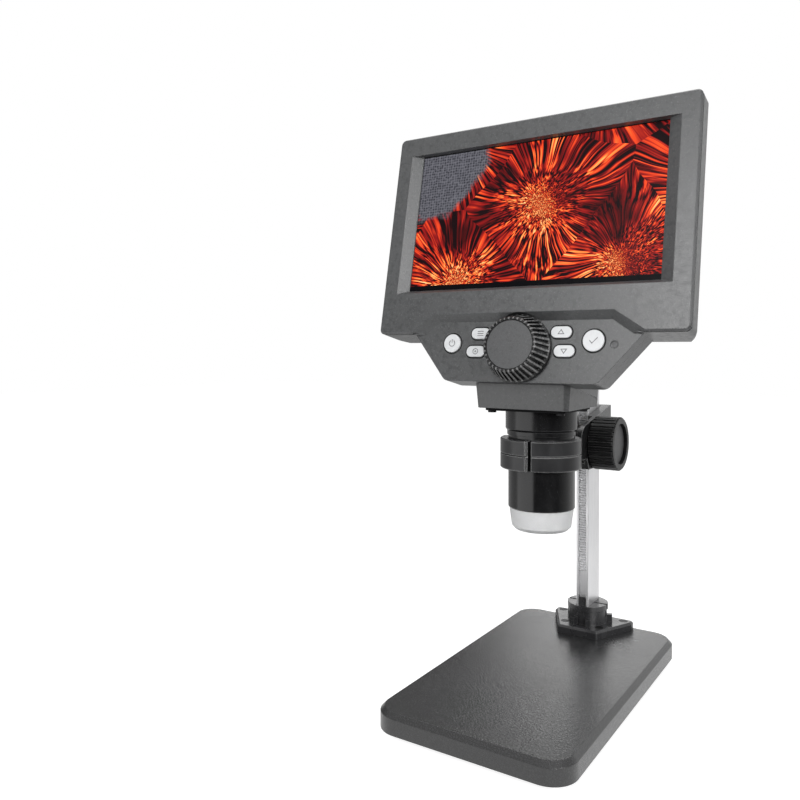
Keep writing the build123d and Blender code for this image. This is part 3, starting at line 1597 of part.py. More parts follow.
def lens_section(radius, low, thick, crown):
    """Half section of a lens: a flat rim, with a crowned face above and below."""
    sphere = (radius**2 + crown**2) / (2 * crown)
    spread = degrees(asin(radius / sphere))
    with BuildLine() as outline:
        upper = CenterArc((0, low + thick + crown - sphere), sphere, 90, -spread)
        lower = CenterArc((0, low - crown + sphere), sphere, -90, spread)
        Line(upper @ 1, lower @ 1)
        Line(upper @ 0, lower @ 0)
    make_face(outline.edges())


with BuildPart() as front_lens:
    with BuildSketch(barrel_side):
        lens_section(nose_bore - seat_gap, front_lens_z, front_lens_thick, front_lens_crown)
    revolve(axis=barrel_axis)
save(front_lens, "front_lens")

# the crown's edge, not the rim, touches the seat
rear_lens_lift = rear_lens_crown * (1 - (carrier_seat / (carrier_bore - seat_gap)) ** 2) + seat_gap

with BuildPart() as rear_lens:
    with BuildSketch(barrel_side):
        lens_section(carrier_bore - seat_gap, rear_lens_z + rear_lens_lift, rear_lens_thick, rear_lens_crown)
    revolve(axis=barrel_axis)
save(rear_lens, "rear_lens")

neck_floor_top = neck_bottom + neck_floor
frame_bottom = neck_floor_top - frame_plug

with BuildPart() as optics_frame:
    with BuildSketch(Plane.XY.offset(frame_bottom)):
        with Locations((0, barrel_y)):
            Circle(barrel_throat - seat_gap)
    extrude(amount=frame_plug)
    with BuildSketch(Plane.XY.offset(neck_floor_top)):
        with Locations((0, barrel_y)):
            Circle(frame_flange_radius)
    extrude(amount=frame_flange_thick)
    with BuildSketch(Plane.XY.offset(neck_floor_top)):
        with Locations((0, (column_front + column_rear) / 2)):
            Rectangle(2 * column_half, column_rear - column_front)
    extrude(amount=column_top - neck_floor_top)
    with BuildSketch(Plane.XY.offset(frame_bottom)):
        with Locations((0, rack_middle_y)):
            Rectangle(-2 * rack_back_x + 2 * slide_gap, focus_rack_width + 2 * slide_gap)
    extrude(amount=frame_plug + frame_flange_thick, mode=Mode.SUBTRACT)
    extrude(
        focus_disc(focus_shaft_end + 2, focus_shaft_radius + bore_gap),
        amount=focus_shaft_end,
        dir=head_out,
        mode=Mode.SUBTRACT,
    )
save(optics_frame, "optics_frame")

with BuildPart() as sensor_board:
    with BuildSketch(Plane.XY.offset(frame_bottom)):
        with Locations((0, barrel_y)):
            Rectangle(sensor_board_size, sensor_board_size)
        with Locations((0, rack_middle_y)):
            Rectangle(-2 * rack_back_x + 2 * slide_gap, focus_rack_width + 2 * slide_gap, mode=Mode.SUBTRACT)
    extrude(amount=-sensor_board_thick)
save(sensor_board, "sensor_board")

with BuildPart() as image_sensor:
    with BuildSketch(Plane.XY.offset(frame_bottom - sensor_board_thick)):
        with Locations((0, sensor_y)):
            Rectangle(sensor_size, sensor_size)
    extrude(amount=-sensor_thick)
save(image_sensor, "image_sensor")
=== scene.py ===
"""Finishes, key symbols, screen picture and stage for a seven inch LCD microscope on a post stand.

Everything is in metres in the part's own frame: X to the right, Y to the back, Z up, the base standing on Z = 0.
"""

import math

import bpy
import numpy as np
from bpy.props import FloatProperty, FloatVectorProperty, PointerProperty
from bpy.types import Operator, Panel, PropertyGroup
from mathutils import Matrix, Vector


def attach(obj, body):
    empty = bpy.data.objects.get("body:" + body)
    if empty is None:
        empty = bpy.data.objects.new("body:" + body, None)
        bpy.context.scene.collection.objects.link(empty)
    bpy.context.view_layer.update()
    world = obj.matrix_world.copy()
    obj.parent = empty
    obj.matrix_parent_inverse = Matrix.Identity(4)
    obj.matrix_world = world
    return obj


bl_info = {
    "name": "LCD microscope finishes",
    "version": (1, 0, 0),
    "blender": (4, 5, 0),
    "location": "View3D > Sidebar > Microscope",
    "description": "Finishes, key symbols, screen picture and stage for an LCD microscope on a post stand",
    "category": "Object",
}

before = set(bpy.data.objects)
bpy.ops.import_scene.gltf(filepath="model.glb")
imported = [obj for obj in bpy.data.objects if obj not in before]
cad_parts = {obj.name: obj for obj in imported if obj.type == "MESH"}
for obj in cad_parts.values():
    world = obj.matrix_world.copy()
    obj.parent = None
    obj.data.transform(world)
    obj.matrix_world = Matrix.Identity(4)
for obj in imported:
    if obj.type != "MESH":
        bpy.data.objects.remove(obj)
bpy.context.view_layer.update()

MM = 0.001

# The leaning panel's own frame: x to the right, height up the panel, out towards the user.
LEAN = math.radians(11.5)
PANEL_ORIGIN = np.array([0.0, -32.6, 203.7]) * MM
PANEL_UP = np.array([0.0, math.sin(LEAN), math.cos(LEAN)])
PANEL_OUT = np.array([0.0, -math.cos(LEAN), math.sin(LEAN)])
PANEL_TURN = (math.pi / 2 - LEAN, 0.0, 0.0)

# Places in that frame, in mm. How far out the key tops, the key panel, the focus knob's face and its ribs' rear lie:
KEY_TOP = -4.1
PANEL_TOP = -5.0
FOCUS_FACE = 7.5
RIBS_REAR = -2.3
# The middle of each key as x and height, the width of its symbol's lines, and the thin black rings of painted shade
# round the keys, where their gaps fall dark: their radii, the straight length of the oval ones, and their width and
# rise.
KEYS = {
    "power": (-40.8, -4.8),
    "ok": (40.6, -3.7),
    "up": (23.2, 0.9),
    "down": (25.4, -9.1),
    "menu": (-23.4, 0.6),
    "mode": (-25.6, -9.4),
}
STROKE = 0.42
OVAL_SHADE_RING, OVAL_STRAIGHT = 3.525, 5.1
POWER_SHADE_RING = 5.675
OK_SHADE_RING = 6.075
SHADE_RING_WIDTH, SHADE_RING_RISE = 0.75, 0.08
# The focus knob's middle as x and height, the painted-shade ring round its face as radius and width, and its rib
# count:
FOCUS_CENTRE = (0.0, -8.0)
FOCUS_SHADE_RING, FOCUS_SHADE_RING_WIDTH = 13.15, 0.6
FOCUS_RIBS = 36
# The lit picture's edges, and the corner where the grey film lies:
PICTURE_HALF_WIDTH = 72.6
PICTURE_BOTTOM = 29.4
PICTURE_TOP = 109.7
FILM_CORNER = (-66.0, 106.0, 0.0)

# How bright the room is when it is mirrored in the object, by degrees from +X towards +Y: near the floor and above it.
# White cards stand at the left, the right and the back, and the camera's side is dark near the floor.
LOW_CARDS = (
    (-180, 0.5),
    (-160, 0.6),
    (-154, 1.6),
    (-97, 1.6),
    (-93, 0.03),
    (-12, 0.03),
    (30, 0.6),
    (48, 0.85),
    (112, 0.9),
    (125, 0.5),
    (180, 0.5),
)
HIGH_CARDS = (
    (-180, 0.25),
    (-70, 0.2),
    (-60, 1.1),
    (-40, 1.1),
    (-12, 0.7),
    (30, 0.8),
    (60, 1.0),
    (98, 0.7),
    (105, 1.7),
    (114, 2.0),
    (116, 0.1),
    (180, 0.2),
)
# Higher still: the sine of the heights at which the next brightness begins and has taken over, and that brightness.
HIGH_LAYERS = ((0.37, 0.52, 0.6), (0.72, 0.9, 0.9))
# The floor: its grey, the light that makes it white where it is seen, and, where it is mirrored, how far plain white
# reaches and where the cards have taken over.
FLOOR_GREY = (0.55, 0.55, 0.55)
FLOOR_GLOW = 0.82
PLAIN_FLOOR = (0.28, 0.40)
# The camera: its place, how far it looks down and how far it stands round from the front, and its shift.
EYE = (0.17416, -0.40811, 0.19528)
EYE_DOWN = math.radians(0.45)
EYE_ROUND = math.radians(33.71)
EYE_SHIFT = (0.0046, -0.057)


# ---------------------------------------------------------------- meshes


def grid_faces(rows, columns, rows_closed=False, columns_closed=False):
    """Quads of a grid of points numbered row by row. A closed direction joins its last line to its first."""
    row = np.arange(rows if rows_closed else rows - 1)
    column = np.arange(columns if columns_closed else columns - 1)
    row, column = np.meshgrid(row, column, indexing="ij")
    next_row, next_column = (row + 1) % rows, (column + 1) % columns
    corners = [
        row * columns + column,
        row * columns + next_column,
        next_row * columns + next_column,
        next_row * columns + column,
    ]
    return np.stack(corners, -1).reshape(-1, 4)


def volume_sign(points, faces):
    """+1 if the faces of a closed mesh point outwards: the sum of a . (b x c) over its triangles is then positive."""
    fans = [(face[0], face[i], face[i + 1]) for face in faces for i in range(1, len(face) - 1)]
    a, b, c = np.moveaxis(points[np.array(fans)], 1, 0)
    return 1 if (a * np.cross(b, c)).sum() >= 0 else -1


def add_mesh(name, points, faces, finish):
    """A mesh object at the origin from an array of points and a list of faces, with one finish."""
    mesh = bpy.data.meshes.new(name)
    mesh.from_pydata(np.asarray(points, float).tolist(), [], [list(map(int, f)) for f in faces])
    mesh.validate()
    mesh.update()
    mesh.materials.append(finish)
    thing = bpy.data.objects.new(name, mesh)
    bpy.context.scene.collection.objects.link(thing)
    return thing


def on_panel(x, height, out):
    """Points of the part's frame from the panel's: origin + x X + height up + out outwards, all given in mm."""
    x, height, out = np.broadcast_arrays(x, height, out)
    across = np.array([1.0, 0.0, 0.0])
    place = x[..., None] * across + height[..., None] * PANEL_UP + out[..., None] * PANEL_OUT
    return PANEL_ORIGIN + place * MM


def flat_line(path, closed, width, level=KEY_TOP, thickness=0.06):
    """A printed line, or a thin ring of painted shade, as a flat closed bar on a level of the panel's frame, in mm.

    Point (s, t) = path(s) + side(s) * a(t) + out * b(t), where (a, b) runs round a flat bar with chamfered top edges
    that is a little sunk in. side(s) is at a right angle to the path and longer at a corner, to keep the width.
    """
    path = np.asarray(path, float)
    if closed:
        before, after = path - np.roll(path, 1, 0), np.roll(path, -1, 0) - path
    else:
        steps = np.diff(path, axis=0)
        before, after = np.vstack([steps[:1], steps]), np.vstack([steps, steps[-1:]])
    before /= np.linalg.norm(before, axis=1)[:, None]
    after /= np.linalg.norm(after, axis=1)[:, None]
    middle = before + after
    middle /= np.linalg.norm(middle, axis=1)[:, None]
    side = np.stack([-middle[:, 1], middle[:, 0]], -1)
    side /= np.clip((middle * before).sum(1), 0.35, 1.0)[:, None]
    half, chamfer, sunk = width / 2, min(thickness, width / 2) * 0.4, 0.03
    across = np.array([-half, half, half, half - chamfer, chamfer - half, -half])
    rise = np.array([-sunk, -sunk, thickness - chamfer, thickness, thickness, thickness - chamfer])
    flat = path[:, None, :] + side[:, None, :] * across[None, :, None]
    out = np.broadcast_to(level + rise, flat.shape[:2])
    points = on_panel(flat[..., 0], flat[..., 1], out).reshape(-1, 3)
    rows, columns = len(path), len(across)
    faces = [list(f) for f in grid_faces(rows, columns, closed, True)]
    if not closed:
        faces.append(list(range(columns))[::-1])
        faces.append(list(range((rows - 1) * columns, rows * columns)))
    if volume_sign(points, faces) < 0:
        faces = [f[::-1] for f in faces]
    return points, faces


def joined(parts):
    """Several (points, faces) as one."""
    points, faces, start = [], [], 0
    for some, corners in parts:
        points.append(some)
        faces += [[start + i for i in f] for f in corners]
        start += len(some)
    return np.vstack(points), faces


def arc(radius, first, last, steps, centre=(0.0, 0.0)):
    """Points of centre + radius (cos a, sin a), with a from first to last in degrees."""
    angle = np.radians(np.linspace(first, last, steps))
    return np.stack([centre[0] + radius * np.cos(angle), centre[1] + radius * np.sin(angle)], -1)


def oval(radius, straight, centre):
    """Points of two half circles of one radius, set apart along x by a straight length."""
    right = arc(radius, -90, 90, 17, (centre[0] + straight / 2, centre[1]))
    left = arc(radius, 90, 270, 17, (centre[0] - straight / 2, centre[1]))
    return np.vstack([right, left])


# ---------------------------------------------------------------- finishes


class Wiring:
    """The nodes of a material or a world. Each call adds nodes and gives back the socket that holds their result."""

    def __init__(self, owner):
        owner.use_nodes = True
        self.nodes, self.links = owner.node_tree.nodes, owner.node_tree.links
        self.nodes.clear()

    def put(self, socket, value):
        """Joins a socket to another, or sets its plain value."""
        if isinstance(value, bpy.types.NodeSocket):
            self.links.new(value, socket)
        elif isinstance(value, (tuple, list)) and len(value) == 3 and socket.type == "RGBA":
            socket.default_value = (*value, 1.0)
        elif value is not None:
            socket.default_value = value

    def noise(self, where, detail=2.0, harsh=0.5, twist=0.0, output="Fac"):
        """Cloudy noise of one bump a unit, about 0.3 to 0.7: one number, or three as a colour."""
        node = self.nodes.new("ShaderNodeTexNoise")
        self.put(node.inputs["Vector"], where)
        node.inputs["Scale"].default_value = 1.0
        node.inputs["Detail"].default_value = detail
        node.inputs["Roughness"].default_value = harsh
        node.inputs["Distortion"].default_value = twist
        return node.outputs[output]

    def cells(self, where, feature="F1", output="Distance", random=1.0):
        """Cells of one a unit: the distance to their middle or edge, their colour or their position."""
        node = self.nodes.new("ShaderNodeTexVoronoi")
        node.feature = feature
        self.put(node.inputs["Vector"], where)
        node.inputs["Scale"].default_value = 1.0
        node.inputs["Randomness"].default_value = random
        return node.outputs[output]

    def sum(self, action, first, second=None, third=None):
        """One step of arithmetic on numbers."""
        node = self.nodes.new("ShaderNodeMath")
        node.operation = action
        for socket, value in zip(node.inputs, (first, second, third)):
            self.put(socket, value)
        return node.outputs[0]

    def vector(self, action, first, second=None, scale=None):
        """One step of arithmetic on vectors."""
        node = self.nodes.new("ShaderNodeVectorMath")
        node.operation = action
        self.put(node.inputs[0], first)
        if second is not None:
            self.put(node.inputs[1], second)
        if scale is not None:
            self.put(node.inputs["Scale"], scale)
        single = action in ("DOT_PRODUCT", "LENGTH", "DISTANCE")
        return node.outputs["Value" if single else "Vector"]

    def split(self, where):
        """The three numbers of a vector or a colour."""
        node = self.nodes.new("ShaderNodeSeparateXYZ")
        self.put(node.inputs[0], where)
        return node.outputs[0], node.outputs[1], node.outputs[2]

    def join(self, x=0.0, y=0.0, z=0.0):
        """A vector of three numbers."""
        node = self.nodes.new("ShaderNodeCombineXYZ")
        for socket, value in zip(node.inputs, (x, y, z)):
            self.put(socket, value)
        return node.outputs[0]

    def level(self, value, low, high, new_low=0.0, new_high=1.0, smooth=False):
        """Takes low to new_low and high to new_high, and holds what is outside."""
        node = self.nodes.new("ShaderNodeMapRange")
        node.interpolation_type = "SMOOTHSTEP" if smooth else "LINEAR"
        for socket, number in zip(node.inputs, (value, low, high, new_low, new_high)):
            self.put(socket, number)
        return node.outputs[0]

    def blend(self, share, first, second):
        """Number first where share is 0 and second where it is 1."""
        node = self.nodes.new("ShaderNodeMix")
        self.put(node.inputs[0], share)
        self.put(node.inputs[2], first)
        self.put(node.inputs[3], second)
        return node.outputs[0]

    def mix(self, share, first, second):
        """Colour first where share is 0 and second where it is 1."""
        node = self.nodes.new("ShaderNodeMix")
        node.data_type = "RGBA"
        self.put(node.inputs["Factor"], share)
        self.put(node.inputs[6], first)
        self.put(node.inputs[7], second)
        return node.outputs[2]

    def ramp(self, value, *stops):
        """A colour for each value: stops are (value, colour)."""
        node = self.nodes.new("ShaderNodeValToRGB")
        self.put(node.inputs[0], value)
        elements = node.color_ramp.elements
        while len(elements) < len(stops):
            elements.new(0.5)
        for element, (at, colour) in zip(elements, stops):
            element.position, element.color = at, (*colour, 1.0)
        return node.outputs[0]

    def cards(self, way, stops):
        """How bright the room is in a direction, from stops of (degrees from +X towards +Y, brightness up to 2)."""
        x, y, _ = self.split(way)
        share = self.level(self.sum("ARCTAN2", y, x), -math.pi, math.pi)
        ring = self.ramp(share, *[((degrees + 180.0) / 360.0, (bright / 2,) * 3) for degrees, bright in stops])
        return self.sum("MULTIPLY", ring, 2.0)

    def rays(self):
        """1 for rays that mirror, and 1 for rays that see or see through."""
        path = self.nodes.new("ShaderNodeLightPath").outputs
        return path["Is Glossy Ray"], self.sum("MAXIMUM", path["Is Camera Ray"], path["Is Transmission Ray"])

    def glow(self, strength, kind="ShaderNodeEmission"):
        """White light of a strength."""
        node = self.nodes.new(kind)
        self.put(node.inputs["Color"], (1.0, 1.0, 1.0))
        self.put(node.inputs["Strength"], strength)
        return node.outputs[0]

    def finish(self, kind, surface):
        """Joins a shader to the output."""
        self.links.new(surface, self.nodes.new(kind).inputs["Surface"])


class Finish(Wiring):
    """A material in the making: one principled shader, with the relief gathered in shape."""

    def __init__(self, name, **plain):
        self.material = bpy.data.materials.new(name)
        super().__init__(self.material)
        self.shader = self.nodes.new("ShaderNodeBsdfPrincipled")
        self.finish("ShaderNodeOutputMaterial", self.shader.outputs["BSDF"])
        self.coordinates = self.nodes.new("ShaderNodeTexCoord").outputs["Object"]
        self.shape = None
        self.set(plain)

    def set(self, values):
        """Sets sockets of the shader, named with _ for a space, to plain values or joins them to others."""
        for socket, value in values.items():
            self.put(self.shader.inputs[socket.replace("_", " ")], value)

    def place(self, pitch, centre=(0.0, 0.0, 0.0), turn=(0.0, 0.0, 0.0)):
        """Coordinates counted in pitches (one length, or one for each axis) from a centre, along turned axes."""
        mapping = self.nodes.new("ShaderNodeMapping")
        mapping.vector_type = "TEXTURE"
        self.put(mapping.inputs["Vector"], self.coordinates)
        mapping.inputs["Location"].default_value = centre
        mapping.inputs["Rotation"].default_value = turn
        mapping.inputs["Scale"].default_value = pitch if isinstance(pitch, tuple) else (pitch,) * 3
        return mapping.outputs["Vector"]

    def soften(self, radius):
        """Rounds the shading over sharp edges, as a mould or a polish leaves them."""
        node = self.nodes.new("ShaderNodeBevel")
        node.samples = 4
        node.inputs["Radius"].default_value = radius
        self.shape = node.outputs["Normal"]
        return self.shape

    def edges(self, radius):
        """1 on edges sharper than the radius and 0 on flats: how far the softened normal leans from the true one."""
        geometry = self.nodes.new("ShaderNodeNewGeometry")
        flat = self.vector("DOT_PRODUCT", self.soften(radius), geometry.outputs["Normal"])
        return self.level(flat, 0.75, 0.995, 1.0, 0.0)

    def bump(self, height, depth):
        """Raises the surface by height (0 to 1) times depth."""
        node = self.nodes.new("ShaderNodeBump")
        node.inputs["Strength"].default_value = 1.0
        node.inputs["Distance"].default_value = depth
        self.put(node.inputs["Height"], height)
        if self.shape is not None:
            self.put(node.inputs["Normal"], self.shape)
        self.shape = node.outputs["Normal"]

    def done(self, **last):
        """Joins the relief and the last sockets, and gives the material."""
        self.set(last)
        if self.shape is not None:
            self.put(self.shader.inputs["Normal"], self.shape)
        return self.material


def shade(colour, factor):
    """A colour times a number, held below 1."""
    return tuple(min(c * factor, 1.0) for c in colour)


def moulded_plastic(name, colour, grain_size, grain_depth, gloss):
    """Spark-textured moulded plastic: fine even grain, painted shade in the dips of the coarse grain, pale worn
    specks, paler worn edges and a slow drift of shade.
    """
    finish = Finish(name, Specular_IOR_Level=0.62)
    fine = finish.noise(finish.place(grain_size), 3.0, 0.65)
    coarse = finish.noise(finish.place(grain_size * 2.6), 2.0, 0.5)
    specks = finish.level(fine, 0.56, 0.72)
    drift = finish.noise(finish.place(0.045), 2.0, 0.5)
    pale_edges = finish.edges(0.6 * MM)
    tone = finish.mix(finish.level(drift, 0.3, 0.7), shade(colour, 0.93), shade(colour, 1.08))
    # Painted shade: darker where the coarse grain dips.
    tone = finish.mix(finish.level(coarse, 0.34, 0.5, 0.5, 0.0), tone, shade(colour, 0.6))
    tone = finish.mix(finish.sum("MULTIPLY", specks, 0.5), tone, shade(colour, 2.3))
    tone = finish.mix(finish.sum("MULTIPLY", pale_edges, 0.3), tone, shade(colour, 1.9))
    relief = finish.sum("ADD", fine, finish.sum("MULTIPLY", coarse, 0.7))
    finish.bump(relief, grain_depth)
    rough = finish.level(coarse, 0.3, 0.7, gloss - 0.05, gloss + 0.08)
    rough = finish.sum("SUBTRACT", rough, finish.sum("MULTIPLY", pale_edges, 0.08))
    return finish.done(Base_Color=tone, Roughness=rough)


def leather_paint(name, colour, grain_size, grain_depth, gloss):
    """Thick paint with a leather grain: rounded pebbles parted by shallow creases, with painted shade in the creases,
    worn brighter on the rim.
    """
    finish = Finish(name, Specular_IOR_Level=0.9)
    where = finish.place(grain_size)
    sway = finish.noise(where, 2.0, 0.5)
    bent = finish.vector("ADD", where, finish.vector("SCALE", finish.cells(where, output="Color"), scale=0.25))
    creases = finish.level(finish.cells(bent, "DISTANCE_TO_EDGE"), 0.0, 0.26, smooth=True)
    fine = finish.noise(finish.place(grain_size * 0.23), 2.0, 0.6)
    drift = finish.noise(finish.place(0.06), 3.0, 0.55)
    pale_edges = finish.edges(0.7 * MM)
    # Painted shade: darker in the creases and lighter on the pebbles.
    tone = finish.mix(creases, shade(colour, 0.6), shade(colour, 1.15))
    tone = finish.mix(finish.level(drift, 0.35, 0.7, 0.0, 0.25), tone, shade(colour, 1.35))
    tone = finish.mix(finish.sum("MULTIPLY", finish.level(fine, 0.58, 0.74), 0.35), tone, shade(colour, 2.4))
    tone = finish.mix(finish.sum("MULTIPLY", pale_edges, 0.45), tone, shade(colour, 2.6))
    relief = finish.sum("ADD", creases, finish.sum("MULTIPLY", fine, 0.5))
    relief = finish.sum("ADD", relief, finish.sum("MULTIPLY", sway, 0.5))
    finish.bump(relief, grain_depth)
    rough = finish.level(drift, 0.3, 0.7, gloss - 0.02, gloss + 0.03)
    rough = finish.sum("ADD", rough, finish.level(creases, 0.0, 1.0, 0.05, 0.0))
    return finish.done(Base_Color=tone, Roughness=rough)


def polished_plastic(name, colour, gloss, edge_wear_and_highlight=0.12, edge=0.45, shine=0.5):
    """Glossy moulded plastic: a faint orange-peel ripple, dust, smeared gloss, and paler edges that are partly wear
    and partly a painted edge highlight.

    The argument after gloss sets how pale the edges are (edge wear and painted highlight), edge how wide they are in
    mm, and shine the strength of the gloss.
    """
    finish = Finish(name, Specular_IOR_Level=shine)
    peel = finish.noise(finish.place(2.6 * MM), 2.0, 0.5)
    smear = finish.noise(finish.place((9 * MM, 9 * MM, 22 * MM)), 3.0, 0.6, 0.6)
    dust = finish.level(finish.noise(finish.place(0.5 * MM), 1.0, 0.5), 0.66, 0.78)
    pale_edges = finish.edges(edge * MM)
    tone = finish.mix(finish.level(smear, 0.35, 0.7), shade(colour, 0.85), shade(colour, 1.2))
    tone = finish.mix(finish.sum("MULTIPLY", dust, 0.15), tone, shade(colour, 8.0))
    # Paler edges: partly wear, partly a painted edge highlight.
    tone = finish.mix(finish.sum("MULTIPLY", pale_edges, edge_wear_and_highlight), tone, (0.5, 0.5, 0.5))
    finish.bump(peel, 0.012 * MM)
    rough = finish.level(smear, 0.3, 0.75, max(gloss - 0.04, 0.05), gloss + 0.1)
    rough = finish.sum("ADD", rough, finish.sum("MULTIPLY", dust, 0.2))
    return finish.done(Base_Color=tone, Roughness=rough)


def ribbed_plastic(name, colour, gloss, ribs, centre, turn):
    """Black plastic of a ribbed knob: the crests of its ribs are painted pale as a patchy highlight, and the grooves
    stay black.

    With a the angle round the knob's axis, a crest lies where cos(ribs a) is low, as a groove starts at a = 0.
    """
    finish = Finish(name, Specular_IOR_Level=0.5)
    x, y, out = finish.split(finish.place(MM, centre, turn))
    wave = finish.sum("COSINE", finish.sum("MULTIPLY", finish.sum("ARCTAN2", y, x), float(ribs)))
    # Painted highlight: the rib crests at the knob's front are paled in patches.
    crest_highlight = finish.level(wave, -0.2, -0.8, smooth=True)
    crest_highlight = finish.sum("MULTIPLY", crest_highlight, finish.level(out, RIBS_REAR - 0.2, RIBS_REAR + 0.2))
    wear_and_highlight_patches = finish.level(finish.noise(finish.place(1.6 * MM), 3.0, 0.6), 0.36, 0.6, 0.35, 1.0)
    tone = finish.mix(finish.sum("MULTIPLY", crest_highlight, wear_and_highlight_patches), colour, (0.2, 0.2, 0.2))
    finish.soften(0.2 * MM)
    finish.bump(finish.noise(finish.place(2.6 * MM), 2.0, 0.5), 0.01 * MM)
    return finish.done(Base_Color=tone, Roughness=finish.level(wear_and_highlight_patches, 0.35, 1.0, gloss, gloss + 0.1))


def brushed_metal(name, colour, gloss, along=(0.12, 0.12, 9.0)):
    """Metal drawn or brushed one way: fine lines stretched along one axis in shade, gloss and relief.

    along is the size of a line in mm along each axis.
    """
    finish = Finish(name, Metallic=1.0)
    pitch = tuple(a * MM for a in along)
    lines = finish.noise(finish.place(pitch), 3.0, 0.6)
    broad = finish.noise(finish.place(tuple(p * 6 for p in pitch)), 2.0, 0.5)
    cloud = finish.noise(finish.place(18 * MM), 2.0, 0.5)
    pale_edges = finish.edges(0.3 * MM)
    tone = finish.mix(finish.level(lines, 0.3, 0.7), shade(colour, 0.84), shade(colour, 1.08))
    tone = finish.mix(finish.level(broad, 0.35, 0.7, 0.0, 0.3), tone, shade(colour, 0.8))
    tone = finish.mix(finish.sum("MULTIPLY", pale_edges, 0.4), tone, shade(colour, 1.25))
    finish.bump(lines, 0.006 * MM)
    rough = finish.level(cloud, 0.3, 0.7, gloss - 0.05, gloss + 0.08)
    rough = finish.sum("ADD", rough, finish.level(lines, 0.3, 0.7, -0.04, 0.05))
    return finish.done(Base_Color=tone, Roughness=rough)


def frosted_plastic(name, colour):
    """Milky moulded plastic that lets light soak in: fine frosting, brighter where the wall is thick."""
    finish = Finish(
        name,
        Subsurface_Weight=0.55,
        Subsurface_Radius=(3.0, 3.0, 3.2),
        Subsurface_Scale=0.001,
        Specular_IOR_Level=0.45,
    )
    frost = finish.noise(finish.place(0.4 * MM), 3.0, 0.6)
    cloud = finish.noise(finish.place(7 * MM), 2.0, 0.5)
    pale_edges = finish.edges(0.5 * MM)
    tone = finish.mix(finish.level(cloud, 0.3, 0.7), shade(colour, 0.93), colour)
    tone = finish.mix(finish.level(frost, 0.55, 0.75, 0.0, 0.3), tone, (0.95, 0.95, 0.95))
    tone = finish.mix(finish.sum("MULTIPLY", pale_edges, 0.5), tone, (0.97, 0.97, 0.97))
    finish.bump(frost, 0.02 * MM)
    return finish.done(Base_Color=tone, Roughness=finish.level(cloud, 0.3, 0.7, 0.3, 0.42))


def key_plastic(name, colour):
    """Satin white keys: a fine grain and a little grime where fingers don't reach."""
    finish = Finish(name, Specular_IOR_Level=0.5)
    fine = finish.noise(finish.place(0.35 * MM), 2.0, 0.6)
    grime = finish.noise(finish.place(3.5 * MM), 3.0, 0.6)
    pale_edges = finish.edges(0.4 * MM)
    tone = finish.mix(finish.level(grime, 0.4, 0.75, 0.0, 0.4), colour, shade(colour, 0.78))
    tone = finish.mix(finish.sum("MULTIPLY", pale_edges, 0.5), tone, shade(colour, 1.15))
    finish.bump(fine, 0.012 * MM)
    return finish.done(Base_Color=tone, Roughness=finish.level(fine, 0.3, 0.7, 0.36, 0.5))


def soft_rubber(name, colour, grain_size=0.6 * MM, depth=0.03 * MM):
    """Matt rubber or matt filled plastic with a pitted skin and dusty high spots."""
    finish = Finish(name, Specular_IOR_Level=0.35)
    pits = finish.cells(finish.place(grain_size))
    dust = finish.noise(finish.place(5 * MM), 3.0, 0.6)
    tone = finish.mix(finish.level(dust, 0.4, 0.75), colour, shade(colour, 1.8))
    finish.edges(0.3 * MM)
    finish.bump(pits, depth)
    return finish.done(Base_Color=tone, Roughness=finish.level(dust, 0.3, 0.7, 0.6, 0.85))


def circuit_board(name, colour, metal):
    """Green lacquered board: tracks run on a square grid, with tinned rings where cells are round."""
    finish = Finish(name, Specular_IOR_Level=0.5, Coat_Weight=0.3, Coat_Roughness=0.2)
    blocks = finish.cells(finish.place(2.2 * MM), output="Color", random=0.0)
    tracks = finish.level(finish.cells(finish.place(1.1 * MM), "DISTANCE_TO_EDGE", random=0.25), 0.07, 0.12)
    pads = finish.level(finish.cells(finish.place(3.1 * MM), random=0.6), 0.12, 0.16, 1.0, 0.0)
    tone = finish.mix(finish.level(finish.split(blocks)[0], 0.2, 0.9, 0.0, 0.5), colour, shade(colour, 0.7))
    tone = finish.mix(tracks, shade(colour, 1.9), tone)
    tone = finish.mix(pads, tone, metal)
    finish.bump(finish.sum("SUBTRACT", 1.0, tracks), 0.03 * MM)
    return finish.done(Base_Color=tone, Roughness=finish.level(pads, 0.0, 1.0, 0.42, 0.25))


def clear_plastic(name, colour, see_through, gloss=0.08, glass=1.49):
    """Clear plastic or glass: almost smooth, with faint smears."""
    finish = Finish(name, Transmission_Weight=see_through, IOR=glass)
    smear = finish.noise(finish.place(6 * MM), 3.0, 0.6)
    tone = finish.mix(finish.level(smear, 0.3, 0.7), colour, shade(colour, 0.9))
    finish.bump(smear, 0.01 * MM)
    return finish.done(Base_Color=tone, Roughness=finish.level(smear, 0.3, 0.7, gloss, gloss + 0.08))


